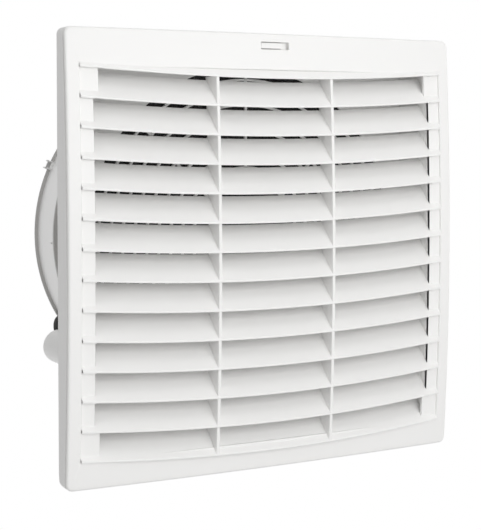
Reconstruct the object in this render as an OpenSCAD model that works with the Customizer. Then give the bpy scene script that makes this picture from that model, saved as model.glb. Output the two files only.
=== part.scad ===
// Filter fan for the wall of an electrical enclosure, with a hinged louvre cover.
// Frame: the origin is the middle of the wall cut-out on the wall's face, Z is up,
// and the louvres face -Y. Y counts backwards, into the enclosure.

/* [Cover] */
// Width and height of the cover
cover_w = 323; // [320:0.5:330]
// Depth of the cover at its corners
edge_depth = 16; // [15:0.5:19]
// Wall of the cover
cover_wall = 2.5; // [2.2:0.1:2.8]
// How far the cover swells over its height
bulge_up = 6.4; // [5:0.1:7]
// How far the cover swells over its width
bulge_across = 4.6; // [3:0.1:5]
// Radius of the cover's four corners
corner_r = 5; // [3:0.5:7]
// Gap that the cover leaves to the wall
wall_gap = 0.6; // [0.4:0.1:1]

/* [Louvre] */
// Rows of slats
row_count = 13; // [12:1:14]
// Height of the plain top of the cover, over the louvre
header_h = 27; // [26:0.5:28]
// Height of the plain foot of the cover, under the louvre
footer_h = 20.7; // [19:0.1:22]
// Width of the raised border on each side
border_w = 10; // [9:0.5:11]
// Width of the sunk strip between the border and the slats
strip_w = 10; // [9.5:0.5:11]
// How deep the strip is sunk
strip_sink = 1.7; // [1.2:0.1:2]
// Height of the bright lip of a slat
lip_h = 1.8; // [1.6:0.1:2.2]
// Free height between a slat and the lip over it
slat_gap = 1.2; // [1:0.1:1.8]
// How far the lips stand out at their ends
lip_proud = 1; // [0.8:0.1:1.3]
// How far a lip bows forward and down in its middle
lip_bow = 7; // [6:0.1:7.5]
// Thickness of the two uprights in the louvre
upright_t = 2.6; // [2:0.1:3]
// Distance between the two uprights
upright_gap = 96; // [90:1:100]

/* [Latch] */
// Width of the latch's slot
slot_w = 23.5; // [23:0.5:25]
// Height of the latch's slot
slot_h = 5.6; // [5.4:0.1:6]
// How far the latch slides
latch_travel = 5; // [4.5:0.1:5.4]

/* [Housing] */
// Side of the wall cut-out
cutout_w = 292; // [291.5:0.5:292.5]
// Depth of the square collar behind the wall
collar_depth = 42; // [41:0.5:43]
// Wall of the housing
housing_wall = 2.5; // [2.3:0.1:2.7]
// Thickness of the flange on the wall
flange_t = 3; // [2.8:0.1:3.2]

/* [Fan] */
// Inner radius of the duct
duct_r = 123.8; // [122:0.2:124.4]
// Wall of the duct and of the drum
duct_wall = 3; // [2.6:0.1:3]
// Height of the fan's axis over the middle of the cut-out
fan_z = 7; // [6:0.5:8]
// Length of the duct between the back plate and the fan ring
duct_len = 51.5; // [50:0.5:56]
// Length of the drum round the impeller
drum_len = 41.3; // [41:0.1:43]
// How far the drum stands out past the duct
drum_out = 1.3; // [1:0.1:1.5]
// How far the two steel rims stand out of the drum
rim_out = 2.3; // [2.2:0.1:2.6]
// Thickness of the two steel rims
rim_t = 2.5; // [2.2:0.1:2.8]
// Number of blades
blade_count = 7; // [5:1:7]
// Gap between a blade's tip and the duct
tip_gap = 2.5; // [2:0.1:3.5]

/* [Motor] */
// Radius of the rotor can
can_r = 41.5; // [41:0.1:42]
// Radius of the shaft
shaft_r = 4; // [3.8:0.1:4.2]
// Radial clearance of the shaft in its bearings
shaft_fit = 0.03; // [0.02:0.01:0.05]

/* [Filter] */
// Thickness of the filter mat
mat_t = 14.4; // [13:0.1:14.4]
// Thickness of the grid that holds the mat
grid_t = 2.5; // [2:0.1:2.5]
// Distance between the grid's rings
grid_pitch = 9.6; // [9:0.1:10.5]
// Width of one of the grid's rings
grid_bar = 1.8; // [1.6:0.1:2.4]

/* [Electrics] */
// Radius of the motor capacitor
cap_r = 13; // [12:0.5:14]
// Distance of the capacitor's end behind the back plate
cap_end = 64; // [58:1:66]
// Radius of the motor lead
lead_r = 2; // [1.8:0.1:2.1]
// Inner radius of the cable gland
gland_bore = 4; // [3.5:0.1:4.2]

/* [Hidden] */

// Clearance between pieces that are put together by hand
ease = 0.3;
// Extra length of a cutter past the face that it cuts
over = 1;
// Sides of true circles
round_fn = 96;
// Segments of the curved outlines of the cover
arc_steps = 14;
foot_steps = 6;

// Half sizes that many pieces share
cover_half = cover_w / 2;
cutout_ease = 0.5;
collar_half = cutout_w / 2 - cutout_ease;
bay_half = collar_half - housing_wall;

// Planes along Y
back_plate_y = collar_depth - housing_wall;
mat_back_y = back_plate_y - ease;
mat_front_y = mat_back_y - mat_t;
grid_back_y = mat_front_y - ease;
grid_front_y = grid_back_y - grid_t;
ring_front_y = collar_depth + duct_len;
drum_front_y = ring_front_y + rim_t;
guard_front_y = drum_front_y + drum_len;
guard_back_y = guard_front_y + rim_t;

// Radii round the fan's axis
duct_out_r = duct_r + duct_wall;
drum_r = duct_r + drum_out;
drum_out_r = duct_out_r + drum_out;
rim_r = drum_out_r + rim_out;
blade_tip_r = duct_r - tip_gap;

// Louvre field
louvre_top = cover_half - header_h;
louvre_foot = footer_h - cover_half;
pitch = (louvre_top - louvre_foot) / row_count;
lip_half = cover_half - border_w;
open_half = lip_half - strip_w;
corner_inset = 4;
end_wall_t = 1.2;
slat_deep = pitch - lip_h - slat_gap;
slat_sink = 1.2;

// Cover hinge, along X under the louvre
hinge_r = 9;
hinge_y = -hinge_r;
hinge_z = hinge_r - cover_half;
hinge_x = 105;
hinge_eye_r = 4;
hinge_pin_r = 1.5;
hinge_pin_fit = 0.05;
lug_t = 8;
ear_t = 5;
ear_back = 0.5;

// Flange on the wall
flange_ease = 2.5;
flange_half = cover_half - cover_wall - flange_ease;
flange_foot = hinge_z + ear_back;
gasket_w = 3.7;
gasket_t = 1.4;
gasket_inset = 1.3;
gasket_half = collar_half + gasket_w + gasket_inset;
groove_ease = 0.1;
screw_hole_r = 2.25;
screw_edge = 0.75;
screw_hole_x = flange_half - screw_hole_r - screw_edge;
screw_hole_z = 120;

// Latch, in the header
latch_inset = 9.2;
latch_z = cover_half - latch_inset;
latch_x = 1.2;
latch_wall = 2.6;
latch_h = 10;
latch_left = -24;
latch_right = 20;
tongue_h = 3.9;
tongue_w = 16.6;
tongue_slant = 2.4;
tongue_back = 0.4;
hook_w = 4;
hook_h = 5.4;
hook_nose = 4.5;
hook_y = -4.5;
catch_y = -9;
catch_t = 2;
catch_grip = 3.5;
catch_post = 4;
rail_t = 2.1;
rail_lip = 2.3;
rail_right = 17;
spring_r = 3.2;
spring_wire = 0.45;
spring_curls = 7;
spring_cuts = 12;
spring_sides = 6;
spring_y = -11.2;
stop_t = 2.5;
stop_x = 33.5;

// Snap clips in the collar's sides
clip_z = 80;
clip_half = 7.6;
clip_pivot_y = 19.6;
clip_front_y = 3.6;
clip_out = 3.8;
clip_ease = 0.35;
clip_pin_r = 0.8;
clip_pin_fit = 0.05;
clip_pin_half = 12;
clip_t = 1.9;

// Rims and their clips
tab_r = 6;
tab_inset = 6.8;
tab_at_r = duct_r - tab_inset;
tab_angle = 45;
ring_screw_r = 2;
ring_screw_fit = 0.1;
ring_screw_len = 12;
ring_head_r = 4;
ring_head_t = 1.9;
boss_r = 5;
boss_len = 22;
rim_clip_angle = 155;
rim_clip_w = 7;
rim_clip_t = 1;
rim_clip_hook = 1.2;
rim_clip_nub = 1.5;
rim_clip_lift = 0.8;
lug_w = 7;
lug_out = 1.8;
lug_len = 1.5;
lug_at = 1;
lead_angle = 212;
notch_w = 5;

// Motor
motor_flange_r = 40;
motor_flange_t = 4.3;
tube_r = 13;
bearing_r = 8;
bearing_w = 5;
can_wall = 4.9;
air_gap = 0.6;
core_r = can_r - can_wall - air_gap;
core_len = 20;
winding_in = 3;
winding_len = 3.2;
can_wall_front = 2.3;
hub_wall = 3.5;
motor_screw_at_r = 28;
motor_screw_r = 2;
motor_head_r = 3.6;
motor_head_t = 2.4;
plate_r = 44;
plate_t = 3;

// Planes of the motor along Y, counted from the rear guard, with the gaps between its pieces
can_back_gap = 3.4;
can_front_gap = 4.3;
core_gap = 2.6;
tube_gap = 4.2;
shaft_seat = 1;
bearing_seat = 1;
bearing_back_gap = 2;
motor_flange_y = guard_front_y - motor_flange_t;
can_back_y = motor_flange_y - can_back_gap;
can_front_y = drum_front_y + can_front_gap;
core_back_y = can_back_y - core_gap;
core_front_y = core_back_y - core_len;
tube_front_y = can_front_y + tube_gap;
shaft_back_y = motor_flange_y + shaft_seat;
bearing_front_y = tube_front_y + bearing_seat;
bearing_back_y = motor_flange_y - bearing_back_gap - bearing_w;

// Blades
blade_t = 2.2;
blade_root_chord = 40;
blade_tip_chord = 72;
blade_root_pitch = 43;
blade_tip_pitch = 21;
blade_sweep = 16;
blade_camber = 5;
blade_steps = 8;
blade_cuts = 6;
blade_edge_share = 0.35;
blade_set_share = 0.6;
blade_y = (can_front_y + can_back_y) / 2;

// Electrics, behind the back plate at the lower left, at angles round the fan's axis
cap_gap = 9.96;
cap_angle = 35.05;
cap_x = -(duct_out_r + cap_gap + cap_r) * cos(cap_angle);
cap_z = fan_z - (duct_out_r + cap_gap + cap_r) * sin(cap_angle);
cap_stud_r = 4;
cap_boss_r = 9;
cap_boss_h = 8;
cap_nut_r = 7.5;
cap_nut_h = 4;
cap_edge = 1.6;
box_gap = 12.04;
box_angle = 51.73;
box_right = -(duct_out_r + box_gap) * cos(box_angle);
box_top = fan_z - (duct_out_r + box_gap) * sin(box_angle);
box_w = 42;
box_h = 40;
box_left = box_right - box_w;
box_foot = box_top - box_h;
box_deep = 36;
box_wall = 2;
lid_t = 2.5;
lid_boss_r = 4;
lid_boss_in = 4.5;
lid_screw_r = 1.5;
lid_head_r = 3;
lid_head_t = 1.8;
block_w = 24;
block_h = 16;
block_t = 13;
block_in = 8;
pole_count = 3;
pole_r = 2.6;
pole_screw_r = 2.2;
pole_screw_deep = 6;
gland_back = 18;
gland_up = 14;
gland_y = collar_depth + gland_back;
gland_z = box_foot + gland_up;
gland_thread_r = 7.9;
gland_hex_r = 10.5;
gland_hex_t = 5;
gland_nut_len = 15;
gland_seal_t = 1.9;
gland_seal_len = 8;
grommet_wall = 1.5;
grommet_t = 1;

// Route of the motor lead: from the motor along the guard, out under the rim, behind the capacitor
// and down to the lid of the terminal box. The places round the capacitor are counted from its
// middle, the ones under it from the hole in the lid, and the shares go from the lid to the guard
lead_drop = 2.2;
lead_y = guard_front_y - lead_drop;
lead_in_right = 16;
lead_in_up = 30;
lead_in = [box_left + lead_in_right, box_foot + lead_in_up];
lead_stub = 3.5;
lead_foot_y = collar_depth + box_deep + lid_t + lead_stub;
lead_guard_shares = [0, 0.2387, 0.716, 0.9308];
lead_round = [[13.2, 18.6], [7.1, 16.5], [3.2, 11], [3.6, -1]];
lead_round_shares = [0.998, 0.881, 0.705, 0.558];
lead_down = [[-3.5, 16], [-0.5, 4], [0, 0]];
lead_down_shares = [0.411, 0.196, 0];
lead_steps = 4;
lead_sides = 8;
lead_up_share = [1, 0.2, -0.9];

// Helpers

function swell_up(z) = bulge_up * (1 - pow(z / cover_half, 2));
function swell_across(x) = bulge_across * (1 - pow(x / cover_half, 2));
function face_y(x, z) = -(edge_depth + swell_up(z) + swell_across(x));
function bow(x) = lip_bow * (1 - pow(x / cover_half, 2));
function bar_z(k) = louvre_top - pitch * k;
function lip_y(x, k) = -(edge_depth + swell_up(bar_z(k)) + lip_proud + bow(x));
function steps(a, b, n) = [for (i = [0:n]) a + (b - a) * i / n];
function reversed(list) = [for (i = [len(list) - 1:-1:0]) list[i]];

// A (y, z) outline stretched along X from x0 to x1
module along_x(x0, x1) {
    translate([x0, 0, 0])
        rotate([90, 0, 90])
            linear_extrude(x1 - x0)
                children();
}

// An (x, z) outline stretched along Y from y0 to y1
module along_y(y0, y1) {
    translate([0, y1, 0])
        rotate([90, 0, 0])
            linear_extrude(y1 - y0)
                children();
}

// A cylinder along Y
module rod_y(r, y0, y1, sides = round_fn) {
    translate([0, y1, 0])
        rotate([90, 0, 0])
            cylinder(r = r, h = y1 - y0, $fn = sides);
}

// A ring round Y
module ring_y(r_in, r_out, y0, y1) {
    difference() {
        rod_y(r_out, y0, y1);
        rod_y(r_in, y0 - over, y1 + over);
    }
}

// Moves its children to the fan's axis
module on_fan() {
    translate([0, 0, fan_z])
        children();
}

// At an angle round the fan's axis: local X points outwards and local Y backwards
module at_angle(a) {
    on_fan()
        rotate([0, -a, 0])
            children();
}

// A box between two corners
module box(from, to) {
    translate(from)
        cube(to - from);
}

// A square outline with round corners, from exact pieces
module rounded_square(half, r) {
    square([2 * half, 2 * (half - r)], center = true);
    square([2 * (half - r), 2 * half], center = true);
    for (sx = [-1, 1], sz = [-1, 1])
        translate([sx * (half - r), sz * (half - r)])
            circle(r = r, $fn = round_fn);
}

// A closed skin through rings of points, each ring with the same number of points
module skin(rings) {
    n = len(rings[0]);
    m = len(rings);
    sides = [for (i = [0:m - 2], j = [0:n - 1], t = [0, 1])
        t == 0 ? [i * n + j, (i + 1) * n + j, i * n + (j + 1) % n]
               : [i * n + (j + 1) % n, (i + 1) * n + j, (i + 1) * n + (j + 1) % n]];
    first = [for (j = [1:n - 2]) [0, j, j + 1]];
    last = [for (j = [1:n - 2]) [(m - 1) * n, (m - 1) * n + j + 1, (m - 1) * n + j]];
    polyhedron(points = [for (r = rings) each r], faces = concat(sides, first, last));
}

// Cover

// A plate of the cover's face between two heights, over the whole width
module face_band(z0, z1) {
    tilt = atan((swell_up(z1) - swell_up(z0)) / (z1 - z0));
    front = [for (x = steps(-cover_half, cover_half, arc_steps)) [x, -swell_across(x)]];
    back = [for (p = reversed(front)) p + [0, cover_wall]];
    translate([0, -edge_depth - swell_up(z0), z0])
        rotate([tilt, 0, 0])
            linear_extrude((z1 - z0) / cos(tilt))
                polygon(concat(front, back));
}

// A plate of the cover's face between two places across, at a depth under the face
module face_strip(x0, x1, z0, z1, sink) {
    turn = atan((swell_across(x0) - swell_across(x1)) / (x1 - x0));
    front = [for (z = steps(z0, z1, arc_steps)) [sink - edge_depth - swell_up(z), z]];
    back = [for (p = reversed(front)) p + [cover_wall, 0]];
    translate([x0, -swell_across(x0), 0])
        rotate([0, 0, turn])
            rotate([90, 0, 90])
                linear_extrude((x1 - x0) / cos(turn))
                    polygon(concat(front, back));
}

// One bar of the louvre: a bowed lip with a 45 degree slat that rises behind it
module bar(k) {
    nose = lip_proud + strip_sink + slat_sink;
    middle = k == 0 ? nose + lip_bow - bulge_across : slat_deep;
    step_in = ease;
    places = concat([[-lip_half, nose], [-open_half - step_in, nose]],
        [for (x = steps(-open_half, open_half, arc_steps)) [x, middle]],
        [[open_half + step_in, nose], [lip_half, nose]]);
    skin([for (p = places)
        let (x = p[0], deep = p[1], y = lip_y(x, k), z = bar_z(k) - bow(x))
            [[x, y, z], [x, y + deep, z + deep], [x, y + deep, z + lip_h + deep], [x, y, z + lip_h]]]);
}

// One upright of the louvre
module upright(x) {
    reach = lip_proud + bow(x);
    top = louvre_top - bow(x) + lip_h / 2;
    foot = louvre_foot - bow(x) + lip_h / 2;
    front = [for (z = steps(foot, top, arc_steps)) [-edge_depth - swell_up(z + bow(x)) - reach + ease, z]];
    back = [for (p = reversed(front)) [p[0] + slat_deep - 2 * ease, p[1]]];
    along_x(x - upright_t / 2, x + upright_t / 2)
        polygon(concat(front, back));
}

// The thin wall that closes the slats' ends, clear of the housing's window
module end_wall() {
    heights = steps(louvre_foot - lip_h, louvre_top + lip_h, arc_steps);
    reach = slat_deep - ease - lip_proud - bow(open_half);
    front = [for (z = heights) [face_y(open_half, z) + strip_sink + ease, z]];
    back = [for (z = reversed(heights)) [-edge_depth - swell_up(z) + reach, z]];
    along_x(-open_half - end_wall_t, -open_half)
        polygon(concat(front, back));
}

// Outline of the cover's side, with the round foot that lets it swing past the wall
function side_outline() = concat(
    [for (z = steps(-cover_half, cover_half, arc_steps)) [-edge_depth - swell_up(z), z]],
    [[-wall_gap, cover_half], [-wall_gap, hinge_z]],
    [for (a = steps(0, 90, foot_steps))
        [hinge_y + (hinge_r - wall_gap) * cos(a), hinge_z - hinge_r * sin(a)]]);

// Outline of the cover's top or foot, back to a plane behind it
function end_outline(back_y) = concat(
    [for (x = steps(-cover_half, cover_half, arc_steps)) [x, -edge_depth - swell_across(x)]],
    [[cover_half, back_y], [-cover_half, back_y]]);

module front_cover() {
    inner = cover_half - cover_wall;
    low = louvre_foot - cover_wall;
    high = louvre_top + cover_wall;
    corner_x = corner_inset - open_half;
    bore_len = lug_t + 2 * (ear_t + ease) + 2 * over;
    color("whitesmoke")
        difference() {
            intersection() {
                union() {
                    for (side = [-1, 1])
                        translate([side * (cover_half - cover_wall / 2), 0, 0])
                            along_x(-cover_wall / 2, cover_wall / 2)
                                polygon(side_outline());
                    translate([0, 0, inner])
                        linear_extrude(cover_wall)
                            polygon(end_outline(-wall_gap));
                    translate([0, 0, -cover_half])
                        linear_extrude(cover_wall)
                            polygon(end_outline(hinge_y - ear_back));
                    face_band(louvre_top, cover_half);
                    face_band(-cover_half, louvre_foot);
                    for (side = [0, 1])
                        mirror([side, 0, 0]) {
                            face_strip(-cover_half, -lip_half, low, high, 0);
                            face_strip(-lip_half - cover_wall, -open_half, low, high, strip_sink);
                            face_strip(-open_half - over, corner_x, louvre_top - pitch, high, strip_sink);
                            face_strip(-open_half - over, corner_x, low, louvre_foot + pitch, strip_sink);
                            end_wall();
                        }
                    for (k = [0:row_count])
                        bar(k);
                    for (side = [-1, 1])
                        upright(side * upright_gap / 2);
                    for (side = [-1, 1], ear = [-1, 1])
                        translate([side * hinge_x + ear * (lug_t / 2 + ease + ear_t / 2), 0, 0])
                            along_x(-ear_t / 2, ear_t / 2)
                                hinge_ear();
                    latch_rails();
                }
                along_y(-edge_depth - bulge_up - bulge_across - lip_bow - over, 0)
                    rounded_square(cover_half, corner_r);
            }
            box([latch_x - slot_w / 2, -edge_depth - bulge_up - bulge_across - over, latch_z - slot_h / 2],
                [latch_x + slot_w / 2, latch_front_y() - ease, latch_z + slot_h / 2]);
            for (side = [-1, 1])
                translate([side * hinge_x, hinge_y, hinge_z])
                    rotate([0, 90, 0])
                        cylinder(r = hinge_pin_r, h = bore_len, center = true, $fn = round_fn);
        }
}

module hinge_ear() {
    foot_z = cover_wall / 2 - cover_half;
    translate([hinge_y, hinge_z])
        circle(r = hinge_eye_r, $fn = round_fn);
    polygon([[hinge_y - hinge_eye_r, hinge_z], [hinge_y - ear_back, hinge_z],
        [hinge_y - ear_back, foot_z], [hinge_y - hinge_eye_r, foot_z]]);
}

module hinge_pins() {
    color("silver")
        for (side = [-1, 1])
            translate([side * hinge_x, hinge_y, hinge_z])
                rotate([0, 90, 0])
                    cylinder(r = hinge_pin_r, h = lug_t + 2 * (ear_t + ease), center = true, $fn = round_fn);
}

// Latch

// The face under which the latch's plate slides, clear of the cover's inside
function latch_front_y() = face_y(latch_left, latch_z + latch_h / 2 + rail_t) + cover_wall + ease;

module latch_rails() {
    back = latch_front_y() + latch_wall + ease + rail_lip;
    low = latch_z - latch_h / 2 - ease;
    high = latch_z + latch_h / 2 + ease;
    front = face_y(latch_left, latch_z) + cover_wall / 2;
    top = cover_half - cover_wall / 2;
    box([latch_left - over, front, low - rail_t], [rail_right, back, low]);
    box([latch_left - over, back - rail_lip, low - rail_t], [rail_right, back, low + rail_lip]);
    box([latch_left - over, front, high], [rail_right, back, top]);
    box([latch_left - over, back - rail_lip, high - rail_lip], [rail_right, back, top]);
    box([stop_x, front, low - rail_t], [stop_x + stop_t, spring_y + spring_r + ease, top]);
}

module latch() {
    front = latch_front_y();
    back = front + latch_wall;
    tongue_left = latch_x - slot_w / 2 + ease;
    low = latch_z - hook_h / 2;
    high = latch_z + hook_h / 2;
    color("gainsboro") {
        box([latch_left, front, latch_z - latch_h / 2], [latch_right, back, latch_z + latch_h / 2]);
        translate([0, 0, latch_z - tongue_h / 2])
            linear_extrude(tongue_h)
                polygon([[tongue_left, back - over], [tongue_left + tongue_w + tongue_slant, back - over],
                    [tongue_left + tongue_w, face_y(latch_x, latch_z) + tongue_back],
                    [tongue_left, face_y(latch_x, latch_z) + tongue_back]]);
        box([latch_left, back - over, low], [latch_left + hook_w, hook_y, high]);
        box([latch_left - hook_nose, catch_y + ease, low], [latch_left + over, hook_y, high]);
        box([latch_right - latch_wall, back - over, low], [latch_right, spring_y + spring_r, high]);
    }
}

// The spring that pushes the latch home, one unbroken helix along X
function spring_point(t) = let (
    reach = stop_x - latch_right - 2 * spring_wire - 2 * ease,
    a = 360 * spring_curls * t)
    [latch_right + spring_wire + ease + reach * t,
        spring_y + (spring_r - spring_wire) * cos(a), latch_z + (spring_r - spring_wire) * sin(a)];

module latch_spring() {
    n = spring_curls * spring_cuts;
    rings = [for (i = [0:n])
        let (a = 360 * spring_curls * i / n, p = spring_point(i / n))
            [for (j = [0:spring_sides - 1])
                let (b = 360 * j / spring_sides)
                    [p[0] + spring_wire * sin(b),
                        p[1] + spring_wire * cos(b) * cos(a), p[2] + spring_wire * cos(b) * sin(a)]]];
    color("silver")
        skin(rings);
    echo(spring_self_gap = (stop_x - latch_right) / spring_curls - 2 * spring_wire);
}

// Housing

module housing() {
    groove_in = gasket_half - gasket_w - groove_ease;
    groove_out = gasket_half + groove_ease;
    color("lightgray")
        difference() {
            union() {
                difference() {
                    union() {
                        box([-flange_half, -flange_t, flange_foot], [flange_half, 0, flange_half]);
                        box([-collar_half, -over, -collar_half], [collar_half, collar_depth, collar_half]);
                    }
                    box([-bay_half, -flange_t - over, -bay_half], [bay_half, back_plate_y, bay_half]);
                    on_fan()
                        rod_y(duct_r, back_plate_y - over, collar_depth + over);
                }
                intersection() {
                    mat_bars();
                    on_fan()
                        rod_y(duct_r + duct_wall / 2, back_plate_y, collar_depth);
                }
                for (side = [-1, 1])
                    translate([side * hinge_x, 0, 0])
                        along_x(-lug_t / 2, lug_t / 2)
                            hinge_lug();
                latch_catch();
                grid_bumps();
                translate([cap_x, 0, cap_z])
                    rod_y(cap_boss_r, collar_depth - over, collar_depth + cap_boss_h);
            }
            difference() {
                box([-groove_out, -gasket_t, -groove_out], [groove_out, over, groove_out]);
                box([-groove_in, -gasket_t - over, -groove_in], [groove_in, 2 * over, groove_in]);
            }
            for (sx = [-1, 1], sz = [-1, 1]) {
                translate([sx * screw_hole_x, 0, sz * screw_hole_z])
                    rod_y(screw_hole_r, -flange_t - over, over);
                clip_window(sx, sz);
            }
            for (side = [-1, 1])
                translate([side * hinge_x, hinge_y, hinge_z])
                    rotate([0, 90, 0])
                        cylinder(r = hinge_pin_r + hinge_pin_fit, h = lug_t + 2 * over, center = true,
                            $fn = round_fn);
            translate([cap_x, 0, cap_z])
                rod_y(cap_stud_r, collar_depth + over / 2, collar_depth + cap_boss_h + over);
        }
}

// The round duct, a moulding welded to the back plate
module fan_duct() {
    color("lightgray")
        difference() {
            union() {
                on_fan()
                    ring_y(duct_r, duct_out_r, collar_depth, ring_front_y);
                for (a = [tab_angle:90:tab_angle + 270])
                    at_angle(a)
                        duct_boss();
            }
            for (a = [tab_angle:90:tab_angle + 270])
                at_angle(a)
                    translate([tab_at_r, 0, 0])
                        rod_y(ring_screw_r, ring_front_y - ring_screw_len, ring_front_y + over);
        }
}

// A boss inside the duct that takes a screw of the fan ring
module duct_boss() {
    translate([tab_at_r, 0, 0])
        rod_y(boss_r, ring_front_y - boss_len, ring_front_y);
    box([tab_at_r, ring_front_y - boss_len, -boss_r / 2], [duct_r + duct_wall / 2, ring_front_y, boss_r / 2]);
}

// The cross in the duct's mouth that carries the mat
module mat_bars() {
    for (a = [0, 90])
        at_angle(a)
            box([-duct_out_r, back_plate_y, -grid_bar], [duct_out_r, collar_depth, grid_bar]);
}

module hinge_lug() {
    translate([hinge_y, hinge_z])
        circle(r = hinge_eye_r, $fn = round_fn);
    polygon([[hinge_y, hinge_z + ear_back], [-flange_t / 2, hinge_z + ear_back],
        [-flange_t / 2, hinge_z + hinge_eye_r], [hinge_y, hinge_z + hinge_eye_r]]);
}

// The catch on the flange behind which the latch's hook sits
module latch_catch() {
    right = latch_left - hook_nose + catch_grip;
    left = latch_left - hook_nose - ease - over - catch_post;
    low = latch_z - hook_h / 2;
    high = latch_z + hook_h / 2;
    box([left, catch_y - catch_t, low], [right, catch_y, high]);
    box([left, catch_y - catch_t, low], [left + catch_post, -flange_t / 2, high]);
}

// Bumps in the collar that keep the grid on its mat
module grid_bumps() {
    grip = 1.2;
    bump = 2;
    bump_half = 8;
    for (side = [0, 1], up = [-1, 1])
        mirror([side, 0, 0])
            translate([bay_half, grid_front_y - ease - bump, up * bay_half / 2])
                box([-grip, 0, -bump_half], [over, bump, bump_half]);
}

module clip_window(sx, sz) {
    middle = sx * (collar_half - housing_wall / 2);
    side = clip_half + clip_ease;
    front = clip_front_y - clip_ease - ease;
    back = clip_pivot_y + clip_t / 2 + clip_ease + ease;
    box([middle - housing_wall, front, sz * clip_z - side],
        [middle + housing_wall, back, sz * clip_z + side]);
    translate([middle, clip_pivot_y, sz * clip_z])
        cylinder(r = clip_pin_r, h = 2 * clip_pin_half, center = true, $fn = round_fn);
}

module wall_gasket() {
    color("dimgray")
        difference() {
            box([-gasket_half, -gasket_t, -gasket_half], [gasket_half, 0, gasket_half]);
            box([gasket_w - gasket_half, -gasket_t - over, gasket_w - gasket_half],
                [gasket_half - gasket_w, over, gasket_half - gasket_w]);
        }
}

// One sprung clip that holds the housing in the cut-out
module snap_clip(sx, sz) {
    middle = collar_half - housing_wall / 2;
    color("gray")
        translate([sx * middle, 0, sz * clip_z - clip_half])
            mirror([sx < 0 ? 1 : 0, 0, 0])
                difference() {
                    union() {
                        linear_extrude(2 * clip_half)
                            polygon([[-clip_t / 2, clip_front_y], [clip_t / 2, clip_front_y],
                                [clip_t / 2 + clip_out, clip_front_y + ease],
                                [clip_t / 2, clip_pivot_y - clip_t],
                                [clip_t / 2, clip_pivot_y], [-clip_t / 2, clip_pivot_y]]);
                        translate([0, clip_pivot_y, 0])
                            cylinder(r = clip_t / 2, h = 2 * clip_half, $fn = round_fn);
                    }
                    translate([0, clip_pivot_y, -over])
                        cylinder(r = clip_pin_r + clip_pin_fit, h = 2 * clip_half + 2 * over, $fn = round_fn);
                }
}

module snap_clip_tl() { snap_clip(-1, 1); }
module snap_clip_tr() { snap_clip(1, 1); }
module snap_clip_bl() { snap_clip(-1, -1); }
module snap_clip_br() { snap_clip(1, -1); }

module clip_pins() {
    middle = collar_half - housing_wall / 2;
    color("silver")
        for (sx = [-1, 1], sz = [-1, 1])
            translate([sx * middle, clip_pivot_y, sz * clip_z])
                cylinder(r = clip_pin_r, h = 2 * clip_pin_half, center = true, $fn = round_fn);
}

// Filter

module grid_ring(r) {
    ring_y(r - grid_bar / 2, r + grid_bar / 2, grid_front_y, grid_back_y);
}

module mat_grid() {
    half = bay_half - 2 * ease;
    edge = 1;
    open_r = min(half - fan_z - grid_bar, rim_r + edge);
    ring_count = floor((open_r - plate_r) / grid_pitch);
    color("whitesmoke") {
        difference() {
            box([-half, grid_front_y, -half], [half, grid_back_y, half]);
            on_fan()
                rod_y(open_r, grid_front_y - over, grid_back_y + over);
        }
        on_fan() {
            for (i = [1:ring_count])
                grid_ring(open_r - grid_pitch * i);
        }
        for (a = [0:45:315])
            at_angle(a)
                box([open_r - grid_pitch * ring_count, grid_front_y, -grid_bar / 2],
                    [open_r + grid_bar / 2, grid_back_y, grid_bar / 2]);
    }
}

module filter_mat() {
    half = bay_half - ease;
    color("dimgray")
        box([-half, mat_front_y, -half], [half, mat_back_y, half]);
}

// Fan

module fan_ring() {
    color("dimgray")
        difference() {
            union() {
                on_fan()
                    ring_y(duct_r, rim_r, ring_front_y, drum_front_y);
                for (a = [tab_angle:90:tab_angle + 270])
                    at_angle(a) {
                        translate([tab_at_r, 0, 0])
                            rod_y(tab_r, ring_front_y, drum_front_y);
                        box([tab_at_r, ring_front_y, -tab_r], [duct_r + duct_wall / 2, drum_front_y, tab_r]);
                    }
            }
            for (a = [tab_angle:90:tab_angle + 270])
                at_angle(a)
                    translate([tab_at_r, 0, 0])
                        rod_y(ring_screw_r + ring_screw_fit, ring_front_y - over, drum_front_y + over);
        }
}

module ring_screws() {
    tip_y = ring_front_y - ring_screw_len + over;
    head_y = drum_front_y + ring_head_t;
    color("silver")
        for (a = [tab_angle:90:tab_angle + 270])
            at_angle(a)
                translate([tab_at_r, 0, 0])
                    difference() {
                        union() {
                            rod_y(ring_screw_r, tip_y, drum_front_y + ring_head_t / 2);
                            rod_y(ring_head_r, drum_front_y, head_y);
                        }
                        rod_y(ring_screw_r, head_y - ring_head_t / 2, head_y + over, 6);
                    }
}

// A lug outside the drum, over which a rim clip hooks
module drum_lug(y) {
    box([drum_out_r - over, y, -lug_w / 2], [drum_out_r + lug_out, y + lug_len, lug_w / 2]);
}

module fan_drum() {
    mark_at = 5;
    mark_y = drum_front_y + mark_at;
    mark_len = 7;
    mark_h = 1;
    mark_angle = 182;
    color("lightgray")
        difference() {
            union() {
                on_fan()
                    ring_y(drum_r, drum_out_r, drum_front_y, guard_front_y);
                for (a = [rim_clip_angle:90:rim_clip_angle + 270])
                    at_angle(a) {
                        drum_lug(drum_front_y + lug_at);
                        drum_lug(guard_front_y - lug_at - lug_len);
                    }
            }
            at_angle(lead_angle)
                box([drum_r - over, lead_y - notch_w / 2, -notch_w / 2],
                    [drum_out_r + over, guard_front_y + over, notch_w / 2]);
            at_angle(mark_angle)
                box([drum_out_r - mark_h, mark_y, 0], [drum_out_r + over, mark_y + mark_len, mark_h]);
        }
}

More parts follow.
